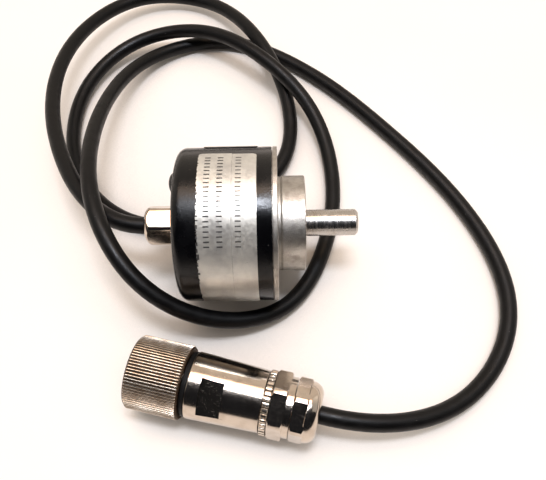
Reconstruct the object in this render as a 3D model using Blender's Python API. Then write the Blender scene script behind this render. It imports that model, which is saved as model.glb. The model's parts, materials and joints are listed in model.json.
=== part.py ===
"""Shaft encoder with a clamping flange, a cable and a round plug connector.

Frame: +X runs along the shaft out of the flange, +Z is up, and the encoder lies on its side
on the plane Z = 0. The origin is below the middle of the encoder, so the shaft axis is the
line Y = 0, Z = AXIS_HEIGHT. Lengths are in metres.
"""
import math

import bmesh
import bpy
import numpy as np
from mathutils import Matrix

# ---------------------------------------------------------------- driving dimensions
GAP = 0.0003                    # clearance between touching pieces
ORIGIN_SHIFT = 0.0007           # puts the middle of the encoder over the row's origin

BODY_RADIUS = 0.029             # 58 mm flange and housing
AXIS_HEIGHT = BODY_RADIUS       # the housing rests on its side
FLANGE_FACE_X = 0.0095          # mounting face of the flange
HUB_RADIUS = 0.018              # 36 mm centring hub
HUB_LENGTH = 0.010
SHAFT_RADIUS = 0.005            # 10 mm shaft
SHAFT_LENGTH = 0.020            # beyond the hub
HUB_END_X = FLANGE_FACE_X + HUB_LENGTH
SHAFT_TIP_X = HUB_END_X + SHAFT_LENGTH
REAR_FACE_X = FLANGE_FACE_X - 0.0367
FLANGE_REAR_X = FLANGE_FACE_X - 0.0017
CAP_WALL = 0.0024
CAP_INNER_X = REAR_FACE_X + 0.0025   # inside of the cap's rear wall
CAP_EDGE_RADIUS = 0.0035
SPIGOT_RADIUS = 0.0272          # the cap slides over this
SPIGOT_END_X = 0.0
BOSS_RADIUS = 0.0165            # bearing boss behind the flange
BOSS_END_X = -0.009
O_RING_X = 0.0022               # seal between the spigot and the cap
O_RING_RADIUS = 0.0266
HOLE_CIRCLE_RADIUS = 0.024      # fixing holes on a 48 mm circle
HOLE_DEPTH = 0.005
HOLE_RADII = (0.00165, 0.00125)  # core holes for M4 and M3 take turns round the circle

BEARING_OUTER_RADIUS = 0.013    # 26 mm x 10 mm x 8 mm deep-groove bearing
BEARING_WIDTH = 0.008
INNER_RACE_RADIUS = 0.00735     # shoulders of the two rings
OUTER_RACE_RADIUS = 0.0106
BALL_RADIUS = 0.00238
BALL_CIRCLE_RADIUS = 0.009
BALL_COUNT = 7
GROOVE_RADIUS = 0.00255
FRONT_BEARING_X = 0.0107        # mid planes of the two bearings
REAR_BEARING_X = -0.0013
REAR_BEARING_END_X = REAR_BEARING_X - BEARING_WIDTH / 2
CIRCLIP_GROOVE = (-0.0078, -0.0067)  # start and end of the groove in the bore
CIRCLIP_GROOVE_RADIUS = 0.0142
SEAL_BORE_RADIUS = 0.009
SEAL_DEPTH = 0.0029
SHOULDER_RADIUS = 0.0066        # wall between the front bearing and the seal

DISC_RADIUS = 0.019
DISC_X = -0.0149                # mid plane of the graduated disc
DISC_THICKNESS = 0.0012
TRACK_RADIUS = 0.0158           # where the light passes through the disc
BOARD_X = -0.0190
BOARD_THICKNESS = 0.0016
BOARD_RADIUS = 0.0252
POST_CIRCLE_RADIUS = 0.0226
POST_RADIUS = 0.0022
POST_ANGLES = (90, 210, 330)    # degrees round the shaft, from +Y towards +Z

LABEL_THICKNESS = 0.00015
LABEL_STEP = 9                  # degrees of a label for each facet

CABLE_RADIUS = 0.00325
CABLE_BORE_RADIUS = CABLE_RADIUS + 0.00035
CABLE_SIDES_LEVEL = 2           # bevel resolution of the cable's tube
CABLE_POINTS = 76
REST_HEIGHT = 0.0033            # centre of the cable where it lies on the surface
GLAND_END_X = -0.0409
GLAND_FLATS = 0.014             # across the flats of the gland nut
GLAND_TURN = 10                 # degrees, from +Y towards +Z, to a corner of the nut
PLUG_OFFSET = (0.0082, 0.0156)   # Y and Z of the blanking plug from the shaft axis
PLUG_STEM_RADIUS = 0.0025

CONNECTOR_MATE = (-0.04096, -0.05243)   # X and Y of the connector's mating end
CONNECTOR_TURN = -14.23         # degrees about +Z, from +X to the connector's axis
COUPLING_RADIUS = 0.0133        # the knurled ring rests on the surface
# Stations along the connector from its mating end, and radii about its axis.
COUPLING_ENDS = (-0.0020, 0.0185)
LIP_X = 0.0150                  # lip that holds the ring on the sleeve
INSERT_FACE_X = 0.0095
INSERT_RADIUS = 0.0095
SLEEVE_X = 0.0198
SLEEVE_END_X = 0.0462
SLEEVE_RADII = (0.0120, 0.0110)
FLAT_TURN = 35                  # degrees from the top of the sleeve to its milled flat
ADAPTER_X = 0.0491
ADAPTER_FLATS = 0.0216
TAIL_X = 0.0420                 # the adapter's tail reaches into the sleeve
NUT_X = 0.0568
NUT_HEX_END_X = 0.0617
NUT_END_X = 0.0660
NUT_FLATS = 0.0206
SEAL_END_X = 0.0619
HEX_TURN = 24                   # degrees from the ring's side to a corner of the hexagons

# Route of the cable's centre from the gland to the connector, chosen by hand.
CABLE_ROUTE = [
    (-0.0368, 0.0, 0.029), (-0.0415, 0.0, 0.029), (-0.052, 0.0022, 0.029),
    (-0.064, 0.0112, 0.0283), (-0.0785, 0.0335, 0.026), (-0.0912, 0.0772, 0.021),
    (-0.081, 0.132, 0.013), (-0.057, 0.1535, 0.0085), (-0.03, 0.153, 0.0065),
    (-0.0055, 0.1295, 0.0103), (0.0105, 0.098, 0.0082), (0.0158, 0.064, 0.0033),
    (0.007, 0.0405, 0.0033), (-0.012, 0.0275, 0.0033), (-0.0262, 0.019, 0.0033),
    (-0.041, 0.0153, 0.0033), (-0.056, 0.019, 0.0033), (-0.0755, 0.0365, 0.0033),
    (-0.086, 0.069, 0.0033), (-0.0805, 0.1, 0.005), (-0.0601, 0.1211, 0.008),
    (-0.03, 0.1224, 0.0135), (0.0005, 0.1022, 0.017), (0.0247, 0.0752, 0.0097),
    (0.0338, 0.041, 0.0036), (0.0292, 0.0055, 0.0033), (0.0113, -0.0238, 0.0045),
    (-0.0177, -0.0318, 0.0135), (-0.0437, -0.0217, 0.0285), (-0.0595, 0.004, 0.0358),
    (-0.067, 0.0415, 0.0295), (-0.0656, 0.0799, 0.017), (-0.0535, 0.11, 0.007),
    (-0.024, 0.125, 0.0033), (0.0207, 0.107, 0.0033), (0.0607, 0.0648, 0.0033),
    (0.0914, 0.0175, 0.0033), (0.0992, -0.029, 0.0034), (0.0762, -0.0619, 0.0048),
    (0.02545, -0.06928, 0.0133), (0.01963, -0.0678, 0.0133),
]

LARGE_SIDES = 40                # facets round the flange, cap and coupling ring
BEARING_SIDES = 28
MEDIUM_SIDES = 24
SMALL_SIDES = 16
SCREW_SIDES = 12
SHARP_ANGLE = 35.0              # degrees; flatter edges are shaded smooth


# ---------------------------------------------------------------- helpers
def clear_scene():
    for thing in list(bpy.data.objects):
        bpy.data.objects.remove(thing, do_unlink=True)


def material(name, colour, roughness, metallic=0.0, alpha=1.0):
    made = bpy.data.materials.new(name)
    made.use_nodes = True
    shader = made.node_tree.nodes["Principled BSDF"]
    shader.inputs["Base Color"].default_value = (*colour, 1.0)
    shader.inputs["Roughness"].default_value = roughness
    shader.inputs["Metallic"].default_value = metallic
    shader.inputs["Alpha"].default_value = alpha
    return made


def place(name, bm, finish=None, smooth_angle=SHARP_ANGLE):
    """Turn a bmesh into a named object with outward faces and smooth round sides."""
    bmesh.ops.remove_doubles(bm, verts=bm.verts, dist=1e-6)
    bmesh.ops.recalc_face_normals(bm, faces=bm.faces)
    mesh = bpy.data.meshes.new(name)
    bm.to_mesh(mesh)
    bm.free()
    mesh.shade_smooth()
    mesh.set_sharp_from_angle(angle=math.radians(smooth_angle))
    if finish is not None:
        mesh.materials.append(finish)
    thing = bpy.data.objects.new(name, mesh)
    bpy.context.scene.collection.objects.link(thing)
    return thing


def turned(name, outline, finish=None, sides=MEDIUM_SIDES):
    """Spin a closed outline of (axial, radius) points about the X axis."""
    bm = bmesh.new()
    verts = [bm.verts.new((axial, 0.0, radius)) for axial, radius in outline]
    edges = [bm.edges.new((a, b)) for a, b in zip(verts, verts[1:] + verts[:1])]
    bmesh.ops.spin(bm, geom=verts + edges, cent=(0, 0, 0), axis=(1, 0, 0),
                   angle=2 * math.pi, steps=sides, use_merge=True)
    bmesh.ops.remove_doubles(bm, verts=bm.verts, dist=1e-6)
    on_axis = [edge for edge in bm.edges if not edge.link_faces]
    bmesh.ops.delete(bm, geom=on_axis, context="EDGES")
    return place(name, bm, finish)


def on_shaft(thing):
    """Put a piece turned about X onto the shaft axis."""
    thing.location = (0.0, 0.0, AXIS_HEIGHT)
    return thing


def ring(name, start, end, inner, outer, finish=None, sides=MEDIUM_SIDES):
    """A plain ring between two axial stations, on the shaft axis."""
    outline = [(start, inner), (start, outer), (end, outer), (end, inner)]
    return on_shaft(turned(name, outline, finish, sides))


def round_bar(name, start, end, radius, sides=SMALL_SIDES, finish=None):
    """A plain cylinder along X with one flat face at each end."""
    bm = bmesh.new()
    bmesh.ops.create_cone(bm, cap_ends=True, segments=sides, radius1=radius, radius2=radius,
                          depth=end - start)
    bmesh.ops.rotate(bm, cent=(0, 0, 0), matrix=Matrix.Rotation(math.pi / 2, 3, "Y"), verts=bm.verts)
    bmesh.ops.translate(bm, vec=((start + end) / 2, 0, 0), verts=bm.verts)
    return place(name, bm, finish)


def block(name, size, centre, finish=None):
    bm = bmesh.new()
    bmesh.ops.create_cube(bm, size=1.0)
    bmesh.ops.scale(bm, vec=size, verts=bm.verts)
    bmesh.ops.translate(bm, vec=centre, verts=bm.verts)
    return place(name, bm, finish)


def hexagon(name, start, end, flats, turn=0.0, finish=None):
    """A hexagonal bar along X with a corner at `turn` degrees from +Y towards +Z."""
    corner = flats / math.sqrt(3)
    bm = bmesh.new()
    angles = [math.radians(turn + 60 * step) for step in range(6)]
    verts = [bm.verts.new((start, corner * math.cos(a), corner * math.sin(a))) for a in angles]
    face = bm.faces.new(verts)
    grown = bmesh.ops.extrude_face_region(bm, geom=[face])
    moved = [item for item in grown["geom"] if isinstance(item, bmesh.types.BMVert)]
    bmesh.ops.translate(bm, vec=(end - start, 0, 0), verts=moved)
    return place(name, bm, finish)


def combine(target, tool, operation):
    """Apply an exact Boolean of `tool` to `target`, then remove the tool."""
    tool.display_type = "WIRE"
    tool.hide_render = True
    modifier = target.modifiers.new(operation.lower(), "BOOLEAN")
    modifier.operation = operation
    modifier.solver = "EXACT"
    modifier.object = tool
    bpy.context.view_layer.update()
    graph = bpy.context.evaluated_depsgraph_get()
    result = bpy.data.meshes.new_from_object(target.evaluated_get(graph), depsgraph=graph)
    target.modifiers.remove(modifier)
    old = target.data
    target.data = result
    bpy.data.meshes.remove(old)
    bpy.data.objects.remove(tool, do_unlink=True)
    target.data.set_sharp_from_angle(angle=math.radians(SHARP_ANGLE))


def around_shaft(radius, degrees):
    """Y and world Z of a point round the shaft axis, from +Y towards +Z."""
    angle = math.radians(degrees)
    return radius * math.cos(angle), AXIS_HEIGHT + radius * math.sin(angle)


def off_axis(radius, degrees):
    """Place of a point round the X axis, from +Y towards +Z."""
    angle = math.radians(degrees)
    return 0.0, radius * math.cos(angle), radius * math.sin(angle)


def empty_on_axis(name, location, turn=0.0):
    pivot = bpy.data.objects.new(name, None)
    pivot.location = location
    pivot.rotation_euler = (0.0, 0.0, turn)
    bpy.context.scene.collection.objects.link(pivot)
    return pivot


# ---------------------------------------------------------------- materials
def make_materials():
    return {
        "cast_aluminium": material("cast_aluminium", (0.62, 0.60, 0.57), 0.42, 1.0),
        "black_housing": material("black_housing", (0.012, 0.012, 0.014), 0.34),
        "black_plastic": material("black_plastic", (0.015, 0.014, 0.013), 0.22),
        "label_silver": material("label_silver", (0.66, 0.65, 0.62), 0.36, 0.7),
        "plate_dark": material("plate_dark", (0.05, 0.045, 0.042), 0.4),
        "shaft_steel": material("shaft_steel", (0.63, 0.60, 0.57), 0.16, 1.0),
        "bearing_steel": material("bearing_steel", (0.70, 0.70, 0.70), 0.12, 1.0),
        "spring_steel": material("spring_steel", (0.20, 0.20, 0.22), 0.30, 1.0),
        "cage_plastic": material("cage_plastic", (0.30, 0.22, 0.10), 0.5),
        "rubber": material("rubber", (0.010, 0.010, 0.010), 0.6),
        "brass": material("brass", (0.78, 0.57, 0.25), 0.25, 1.0),
        "disc_glass": material("disc_glass", (0.80, 0.88, 0.86), 0.05, 0.0, 0.5),
        "board_green": material("board_green", (0.02, 0.16, 0.07), 0.4),
        "chip_black": material("chip_black", (0.02, 0.02, 0.022), 0.45),
        "lens_clear": material("lens_clear", (0.90, 0.90, 0.92), 0.05, 0.0, 0.5),
        "nickel": material("nickel", (0.70, 0.63, 0.56), 0.20, 1.0),
        "cable_black": material("cable_black", (0.011, 0.010, 0.010), 0.42),
        "insert_plastic": material("insert_plastic", (0.06, 0.06, 0.06), 0.5),
    }


# ---------------------------------------------------------------- housing
def build_flange_hub(finish):
    bore = BEARING_OUTER_RADIUS + GAP
    bearing_stop = FRONT_BEARING_X + BEARING_WIDTH / 2 + GAP
    seal_floor = HUB_END_X - SEAL_DEPTH
    chamfer, edge = 0.0004, 0.0002
    groove_half, groove_floor = 0.0008, SPIGOT_RADIUS - 0.0013
    outline = [
        (HUB_END_X, SEAL_BORE_RADIUS), (HUB_END_X, HUB_RADIUS - chamfer),
        (HUB_END_X - chamfer, HUB_RADIUS), (FLANGE_FACE_X, HUB_RADIUS),
        (FLANGE_FACE_X, BODY_RADIUS - edge), (FLANGE_FACE_X - edge, BODY_RADIUS),
        (FLANGE_REAR_X, BODY_RADIUS), (FLANGE_REAR_X, SPIGOT_RADIUS),
        (O_RING_X + groove_half, SPIGOT_RADIUS), (O_RING_X + groove_half, groove_floor),
        (O_RING_X - groove_half, groove_floor), (O_RING_X - groove_half, SPIGOT_RADIUS),
        (SPIGOT_END_X, SPIGOT_RADIUS), (SPIGOT_END_X, BOSS_RADIUS),
        (BOSS_END_X, BOSS_RADIUS), (BOSS_END_X, bore),
        (CIRCLIP_GROOVE[0], bore), (CIRCLIP_GROOVE[0], CIRCLIP_GROOVE_RADIUS),
        (CIRCLIP_GROOVE[1], CIRCLIP_GROOVE_RADIUS), (CIRCLIP_GROOVE[1], bore),
        (bearing_stop, bore), (bearing_stop, SHOULDER_RADIUS),
        (seal_floor, SHOULDER_RADIUS), (seal_floor, SEAL_BORE_RADIUS),
    ]
    hub = turned("flange_hub", outline, finish, LARGE_SIDES)
    for index in range(6):
        hole = round_bar("cutter", FLANGE_FACE_X - HOLE_DEPTH, FLANGE_FACE_X + 0.001,
                         HOLE_RADII[index % 2], SCREW_SIDES)
        hole.location = off_axis(HOLE_CIRCLE_RADIUS, 30 + 60 * index)
        combine(hub, hole, "DIFFERENCE")
    post_end = BOARD_X + BOARD_THICKNESS / 2 + GAP
    bore_end, thread_radius, root = post_end + 0.011, 0.001, SPIGOT_END_X + 0.001
    post_outline = [(post_end, thread_radius), (post_end, POST_RADIUS), (root, POST_RADIUS),
                    (root, 0.0), (bore_end, 0.0), (bore_end, thread_radius)]
    for degrees in POST_ANGLES:
        post = turned("post", post_outline, None, SCREW_SIDES)
        post.location = off_axis(POST_CIRCLE_RADIUS, degrees)
        combine(hub, post, "UNION")
    return on_shaft(hub)


def build_housing_cap(finish):
    front = FLANGE_REAR_X - GAP
    shoulder = SPIGOT_END_X - GAP
    inner = BODY_RADIUS - CAP_WALL
    lip, gland_hole, inner_corner = SPIGOT_RADIUS + GAP, 0.0063, 0.0015
    outline = [(front, lip), (front, BODY_RADIUS)]
    for step in range(5):
        angle = math.radians(90 * step / 4)
        outline.append((REAR_FACE_X + CAP_EDGE_RADIUS * (1 - math.sin(angle)),
                        BODY_RADIUS - CAP_EDGE_RADIUS * (1 - math.cos(angle))))
    outline += [(REAR_FACE_X, gland_hole), (CAP_INNER_X, gland_hole),
                (CAP_INNER_X, inner - inner_corner), (CAP_INNER_X + inner_corner, inner),
                (shoulder, inner), (shoulder, lip)]
    cap = turned("housing_cap", outline, finish, LARGE_SIDES)
    hole = round_bar("cutter", REAR_FACE_X - 0.001, CAP_INNER_X + 0.001, PLUG_STEM_RADIUS + GAP)
    hole.location = (0, *PLUG_OFFSET)
    combine(cap, hole, "DIFFERENCE")
    return on_shaft(cap)


def build_cap_o_ring(finish):
    cord_radius = 0.00055
    outline = []
    for step in range(6):
        angle = math.radians(60 * step)
        outline.append((O_RING_X + cord_radius * math.cos(angle),
                        O_RING_RADIUS + cord_radius * math.sin(angle)))
    return on_shaft(turned("cap_o_ring", outline, finish))


def build_rear_plug(finish):
    face, rim, dome, head_radius = REAR_FACE_X - GAP, 0.0009, 0.0020, 0.0040
    inner_end = CAP_INNER_X + 0.0006
    outline = [(inner_end, 0.0), (inner_end, PLUG_STEM_RADIUS), (face, PLUG_STEM_RADIUS),
               (face, head_radius), (face - rim, head_radius)]
    for degrees in (25, 50, 75):
        angle = math.radians(degrees)
        outline.append((face - rim - dome * math.sin(angle), head_radius * math.cos(angle)))
    outline.append((face - rim - dome, 0.0))
    plug = turned("rear_plug", outline, finish, SMALL_SIDES)
    plug.location = (0, PLUG_OFFSET[0], AXIS_HEIGHT + PLUG_OFFSET[1])
    return plug


def build_label(name, start, end, first, last, finish):
    """A curved sheet round the cap; angles in degrees from +Y towards +Z."""
    inner = BODY_RADIUS + GAP
    outer = inner + LABEL_THICKNESS
    bm = bmesh.new()
    angle = math.radians(first)
    corners = [(start, inner), (start, outer), (end, outer), (end, inner)]
    verts = [bm.verts.new((x, r * math.cos(angle), r * math.sin(angle))) for x, r in corners]
    face = bm.faces.new(verts)
    bmesh.ops.spin(bm, geom=[face], cent=(0, 0, 0), axis=(1, 0, 0),
                   angle=math.radians(last - first), steps=round((last - first) / LABEL_STEP))
    return on_shaft(place(name, bm, finish))


# ---------------------------------------------------------------- bearings and shaft
def race_outline(inner, outer, groove_side, centre_x):
    """Outline of a bearing ring; groove_side +1 is on its outer face, -1 on its inner face."""
    half = BEARING_WIDTH / 2
    shoulder = outer if groove_side > 0 else inner
    reach = math.sqrt(GROOVE_RADIUS ** 2 - (BALL_CIRCLE_RADIUS - shoulder) ** 2)
    groove = []
    for share in (-1.0, -0.6, 0.0, 0.6, 1.0):
        offset = share * reach
        depth = math.sqrt(GROOVE_RADIUS ** 2 - offset ** 2)
        groove.append((centre_x + offset, BALL_CIRCLE_RADIUS - groove_side * depth))
    if groove_side > 0:
        return [(centre_x - half, inner), (centre_x - half, outer), *groove,
                (centre_x + half, outer), (centre_x + half, inner)]
    return [(centre_x + half, outer), (centre_x + half, inner), *reversed(groove),
            (centre_x - half, inner), (centre_x - half, outer)]


def build_bearing(label, centre_x, steel, plastic):
    inner_race = race_outline(SHAFT_RADIUS + GAP, INNER_RACE_RADIUS, 1, centre_x)
    outer_race = race_outline(OUTER_RACE_RADIUS, BEARING_OUTER_RADIUS, -1, centre_x)
    on_shaft(turned(f"{label}_inner_ring", inner_race, steel, BEARING_SIDES))
    on_shaft(turned(f"{label}_outer_ring", outer_race, steel, BEARING_SIDES))
    pivot = empty_on_axis(f"{label}_ball_pivot", (centre_x, 0, AXIS_HEIGHT))
    cage_half, cage_back, cage_front = 0.0009, -0.0033, 0.0014
    inside, outside = BALL_CIRCLE_RADIUS - cage_half, BALL_CIRCLE_RADIUS + cage_half
    cage = turned(f"{label}_cage", [(cage_back, inside), (cage_back, outside),
                                    (cage_front, outside), (cage_front, inside)],
                  plastic, BEARING_SIDES)
    for index in range(BALL_COUNT):
        spoke = Matrix.Rotation(2 * math.pi * index / BALL_COUNT, 4, "X")
        pocket = round_bar("cutter", inside - 0.001, outside + 0.001, BALL_RADIUS + GAP, SCREW_SIDES)
        pocket.matrix_world = spoke @ Matrix.Rotation(math.pi / 2, 4, "Z")
        combine(cage, pocket, "DIFFERENCE")
        bm = bmesh.new()
        bmesh.ops.create_icosphere(bm, subdivisions=2, radius=BALL_RADIUS)
        ball = place(f"{label}_ball_{index + 1}", bm, steel, 80.0)
        ball.location = off_axis(BALL_CIRCLE_RADIUS, 360 * index / BALL_COUNT)
        ball.parent = pivot
    cage.parent = pivot


def build_bearing_retainers(steel):
    spacer_start = REAR_BEARING_X + BEARING_WIDTH / 2 + GAP
    spacer_end = FRONT_BEARING_X - BEARING_WIDTH / 2 - GAP
    spring_end = REAR_BEARING_END_X - GAP
    spring_start = spring_end - 0.0007
    clip_thickness = 0.0005
    clip_centre = sum(CIRCLIP_GROOVE) / 2
    ring("outer_spacer", spacer_start, spacer_end, 0.0109, BEARING_OUTER_RADIUS, steel)
    ring("inner_spacer", spacer_start, spacer_end, SHAFT_RADIUS + GAP, 0.0068, steel)
    ring("preload_spring", spring_start, spring_end, 0.0110, BEARING_OUTER_RADIUS - 0.0001, steel)
    ring("bore_circlip", clip_centre - clip_thickness / 2, clip_centre + clip_thickness / 2,
         0.0115, CIRCLIP_GROOVE_RADIUS - GAP, steel)
    ring("shaft_circlip", REAR_BEARING_END_X - 0.0013, spring_end, SHAFT_RADIUS - 0.0004,
         0.0064, steel, SMALL_SIDES)


def build_shaft(finish):
    groove_radius, groove_end = SHAFT_RADIUS - 0.0007, REAR_BEARING_END_X - 0.0016
    front_chamfer, rear_chamfer, rear_end = 0.0009, 0.0003, -0.0172
    outline = [(SHAFT_TIP_X, 0.0), (SHAFT_TIP_X, SHAFT_RADIUS - front_chamfer),
               (SHAFT_TIP_X - front_chamfer, SHAFT_RADIUS), (REAR_BEARING_END_X, SHAFT_RADIUS),
               (REAR_BEARING_END_X, groove_radius), (groove_end, groove_radius),
               (groove_end, SHAFT_RADIUS), (rear_end + rear_chamfer, SHAFT_RADIUS),
               (rear_end, SHAFT_RADIUS - rear_chamfer), (rear_end, 0.0)]
    return on_shaft(turned("shaft", outline, finish))


def build_shaft_seal(finish):
    """A lip seal whose lip bends towards the shaft at the middle of its bore."""
    outside, lip, recess = SEAL_BORE_RADIUS - GAP, SHAFT_RADIUS + GAP, 0.0003
    front, back = HUB_END_X - recess, HUB_END_X - SEAL_DEPTH + GAP
    lip_front, lip_back = HUB_END_X - 0.0012, HUB_END_X - 0.0016
    outline = [(front, outside), (front, lip + 0.0011), (lip_front, lip), (lip_back, lip),
               (back, lip + 0.0017), (back, outside)]
    return on_shaft(turned("shaft_seal", outline, finish, SMALL_SIDES))


# ---------------------------------------------------------------- scanning unit
def build_disc_group(finishes):
    half, bore = DISC_THICKNESS / 2, SHAFT_RADIUS + GAP
    hub_front, step_x, seat = -0.0079, -0.0122, DISC_X + half + GAP
    neck, shoulder = 0.0088, 0.0110
    outline = [(hub_front, bore), (hub_front, neck), (step_x, neck), (step_x, shoulder),
               (seat, shoulder), (seat, bore)]
    on_shaft(turned("disc_hub", outline, finishes["brass"]))
    ring("code_disc", DISC_X - half, DISC_X + half, bore + GAP, DISC_RADIUS,
         finishes["disc_glass"], LARGE_SIDES)
    ring("disc_clamp", DISC_X - half - 0.0016, DISC_X - half - GAP, bore, 0.0085, finishes["brass"])


def build_scanning_unit(finishes):
    """Lamp and lens in front of the disc; slit plate and light sensor behind it."""
    front, skirt_end, floor = -0.0093, -0.0139, -0.0098
    holder = turned("led_holder", [(front, 0.0), (front, 0.0036), (skirt_end, 0.0036),
                                   (skirt_end, 0.0022), (floor, 0.0022), (floor, 0.0)],
                    finishes["chip_black"], SMALL_SIDES)
    led_base, led_rim, led_tip = floor - GAP, -0.0113, -0.0120
    led = turned("led", [(led_base, 0.0), (led_base, 0.0019), (led_rim, 0.0019),
                         (led_tip, 0.0010), (led_tip, 0.0)], finishes["lens_clear"], SMALL_SIDES)
    lens_top, lens_edge, lens_back = -0.0123, -0.0128, -0.0136
    lens = turned("condenser_lens", [(lens_top, 0.0), (lens_top - 0.0004, 0.0013),
                                     (lens_edge, 0.0019), (lens_back, 0.0019), (lens_back, 0.0)],
                  finishes["lens_clear"], SMALL_SIDES)
    for thing in (holder, led, lens):
        thing.location = (0, -TRACK_RADIUS, AXIS_HEIGHT)
    block("scanning_reticle", (0.0006, 0.006, 0.006), (-0.0161, -TRACK_RADIUS, AXIS_HEIGHT),
          finishes["disc_glass"])
    block("photodetector", (0.0012, 0.006, 0.0052), (-0.0173, -TRACK_RADIUS, AXIS_HEIGHT),
          finishes["chip_black"])


def build_board(finishes):
    half = BOARD_THICKNESS / 2
    board = round_bar("sensor_board", BOARD_X - half, BOARD_X + half, BOARD_RADIUS, MEDIUM_SIDES,
                      finishes["board_green"])
    for degrees in POST_ANGLES:
        hole = round_bar("cutter", BOARD_X - 0.002, BOARD_X + 0.002, 0.0011, SCREW_SIDES)
        hole.location = off_axis(POST_CIRCLE_RADIUS, degrees)
        combine(board, hole, "DIFFERENCE")
    on_shaft(board)
    seat = BOARD_X - half - GAP
    head, edge, head_radius, stem_radius, tip = 0.0014, 0.0004, 0.0019, 0.0008, -0.0130
    screw_outline = [(seat - head, 0.0), (seat - head, head_radius - 0.0006),
                     (seat - head + edge, head_radius), (seat, head_radius), (seat, stem_radius),
                     (tip, stem_radius), (tip, 0.0)]
    for index, degrees in enumerate(POST_ANGLES):
        screw = turned(f"board_screw_{index + 1}", screw_outline, finishes["shaft_steel"],
                       SCREW_SIDES)
        screw.location = (0, *around_shaft(POST_CIRCLE_RADIUS, degrees))
    chip_height, header_height = 0.0012, 0.0024
    block("signal_chip", (chip_height, 0.007, 0.007),
          (seat - chip_height / 2, 0.0125, AXIS_HEIGHT + 0.0030), finishes["chip_black"])
    block("board_header", (header_height, 0.014, 0.004),
          (seat - header_height / 2, -0.002, AXIS_HEIGHT + 0.0185), finishes["insert_plastic"])


# ---------------------------------------------------------------- gland
def build_gland(finishes):
    nut_start, seal_start, seal_end = REAR_FACE_X - GAP, -0.0334, -0.0364
    stem, passage_radius, collar, collar_end = 0.0060, 0.0038, 0.0085, CAP_INNER_X + 0.0021
    body = [(collar_end, passage_radius), (collar_end, collar), (CAP_INNER_X + GAP, collar),
            (CAP_INNER_X + GAP, stem), (seal_start + GAP, stem), (seal_start + GAP, passage_radius)]
    on_shaft(turned("gland_body", body, finishes["nickel"], SMALL_SIDES))
    ring("gland_seal", seal_end, seal_start, CABLE_BORE_RADIUS, stem - GAP, finishes["rubber"],
         SMALL_SIDES)
    nut = hexagon("gland_nut", nut_start, GLAND_END_X, GLAND_FLATS, GLAND_TURN, finishes["nickel"])
    shape = domed_outline(nut_start, GLAND_END_X, GLAND_FLATS / math.sqrt(3) + 0.0001, 0.0040, 0.0046)
    combine(nut, turned("tool", shape, None), "INTERSECT")
    recess, recess_start, recess_end = stem + GAP, nut_start + 0.001, seal_end - GAP
    passage = [(recess_start, 0.0), (recess_start, recess), (recess_end, recess),
               (recess_end, CABLE_BORE_RADIUS), (GLAND_END_X - 0.001, CABLE_BORE_RADIUS),
               (GLAND_END_X - 0.001, 0.0)]
    combine(nut, turned("cutter", passage, None, SMALL_SIDES), "DIFFERENCE")
    on_shaft(nut)


def domed_outline(start, end, radius, end_radius, dome_length, edge=0.0):
    """Solid outline from a flat start, with an optional bevel, to a domed end."""
    way = 1 if end > start else -1
    dome_start = end - way * dome_length
    outline = [(start, 0.0), (start, radius - edge)]
    if edge:
        outline.append((start + way * edge, radius))
    outline.append((dome_start, radius))
    for degrees in (25, 50, 72):
        angle = math.radians(degrees)
        outline.append((dome_start + way * dome_length * math.sin(angle),
                        end_radius + (radius - end_radius) * math.cos(angle)))
    return outline + [(end, end_radius), (end, 0.0)]


# ---------------------------------------------------------------- cable
def unit(vector):
    return vector / np.linalg.norm(vector)


def smooth_route(points, sample_count):
    """Samples of a smooth curve through the points; its first and last runs are straight."""
    route = np.array(points)
    knots = route[1:-1]
    chord = np.linalg.norm(np.diff(knots, axis=0), axis=1)
    slope = np.diff(knots, axis=0) / chord[:, None]
    count = len(knots)
    system = np.zeros((count, count))
    right = np.zeros((count, 3))
    system[0, :2] = 2 * chord[0], chord[0]
    right[0] = 6 * (slope[0] - unit(route[1] - route[0]))
    system[-1, -2:] = chord[-1], 2 * chord[-1]
    right[-1] = 6 * (unit(route[-1] - route[-2]) - slope[-1])
    for row in range(1, count - 1):
        before, after = chord[row - 1], chord[row]
        system[row, row - 1:row + 2] = before, 2 * (before + after), after
        right[row] = 6 * (slope[row] - slope[row - 1])
    bend = np.linalg.solve(system, right)
    dense = [route[0]]
    for row, length in enumerate(chord):
        for share in np.arange(0.0, 1.0, 0.02):
            a, b = 1 - share, share
            dense.append(a * knots[row] + b * knots[row + 1]
                         + ((a ** 3 - a) * bend[row] + (b ** 3 - b) * bend[row + 1]) * length ** 2 / 6)
    dense = np.array(dense + [knots[-1], route[-1]])
    dense[:, 2] = np.maximum(dense[:, 2], REST_HEIGHT)
    run = np.concatenate([[0.0], np.cumsum(np.linalg.norm(np.diff(dense, axis=0), axis=1))])
    inner = np.linspace(run[1], run[-2], sample_count - 2)
    stations = np.concatenate([[0.0], inner, [run[-1]]])
    return np.column_stack([np.interp(stations, run, dense[:, axis]) for axis in range(3)])


def build_cable(finish):
    curve = bpy.data.curves.new("cable", "CURVE")
    curve.dimensions = "3D"
    curve.bevel_depth = CABLE_RADIUS
    curve.bevel_resolution = CABLE_SIDES_LEVEL
    curve.use_fill_caps = True
    samples = smooth_route(CABLE_ROUTE, CABLE_POINTS)
    spline = curve.splines.new("POLY")
    spline.points.add(len(samples) - 1)
    for point, place_at in zip(spline.points, samples):
        point.co = (*place_at, 1.0)
    spline.use_smooth = True
    curve.materials.append(finish)
    thing = bpy.data.objects.new("cable", curve)
    bpy.context.scene.collection.objects.link(thing)


# ---------------------------------------------------------------- connector
def solid(start, end, radius, name="cutter", sides=MEDIUM_SIDES):
    """A closed cylinder outline spun about X, as a tool for a Boolean."""
    return turned(name, [(start, 0.0), (start, radius), (end, radius), (end, 0.0)], None, sides)


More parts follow.
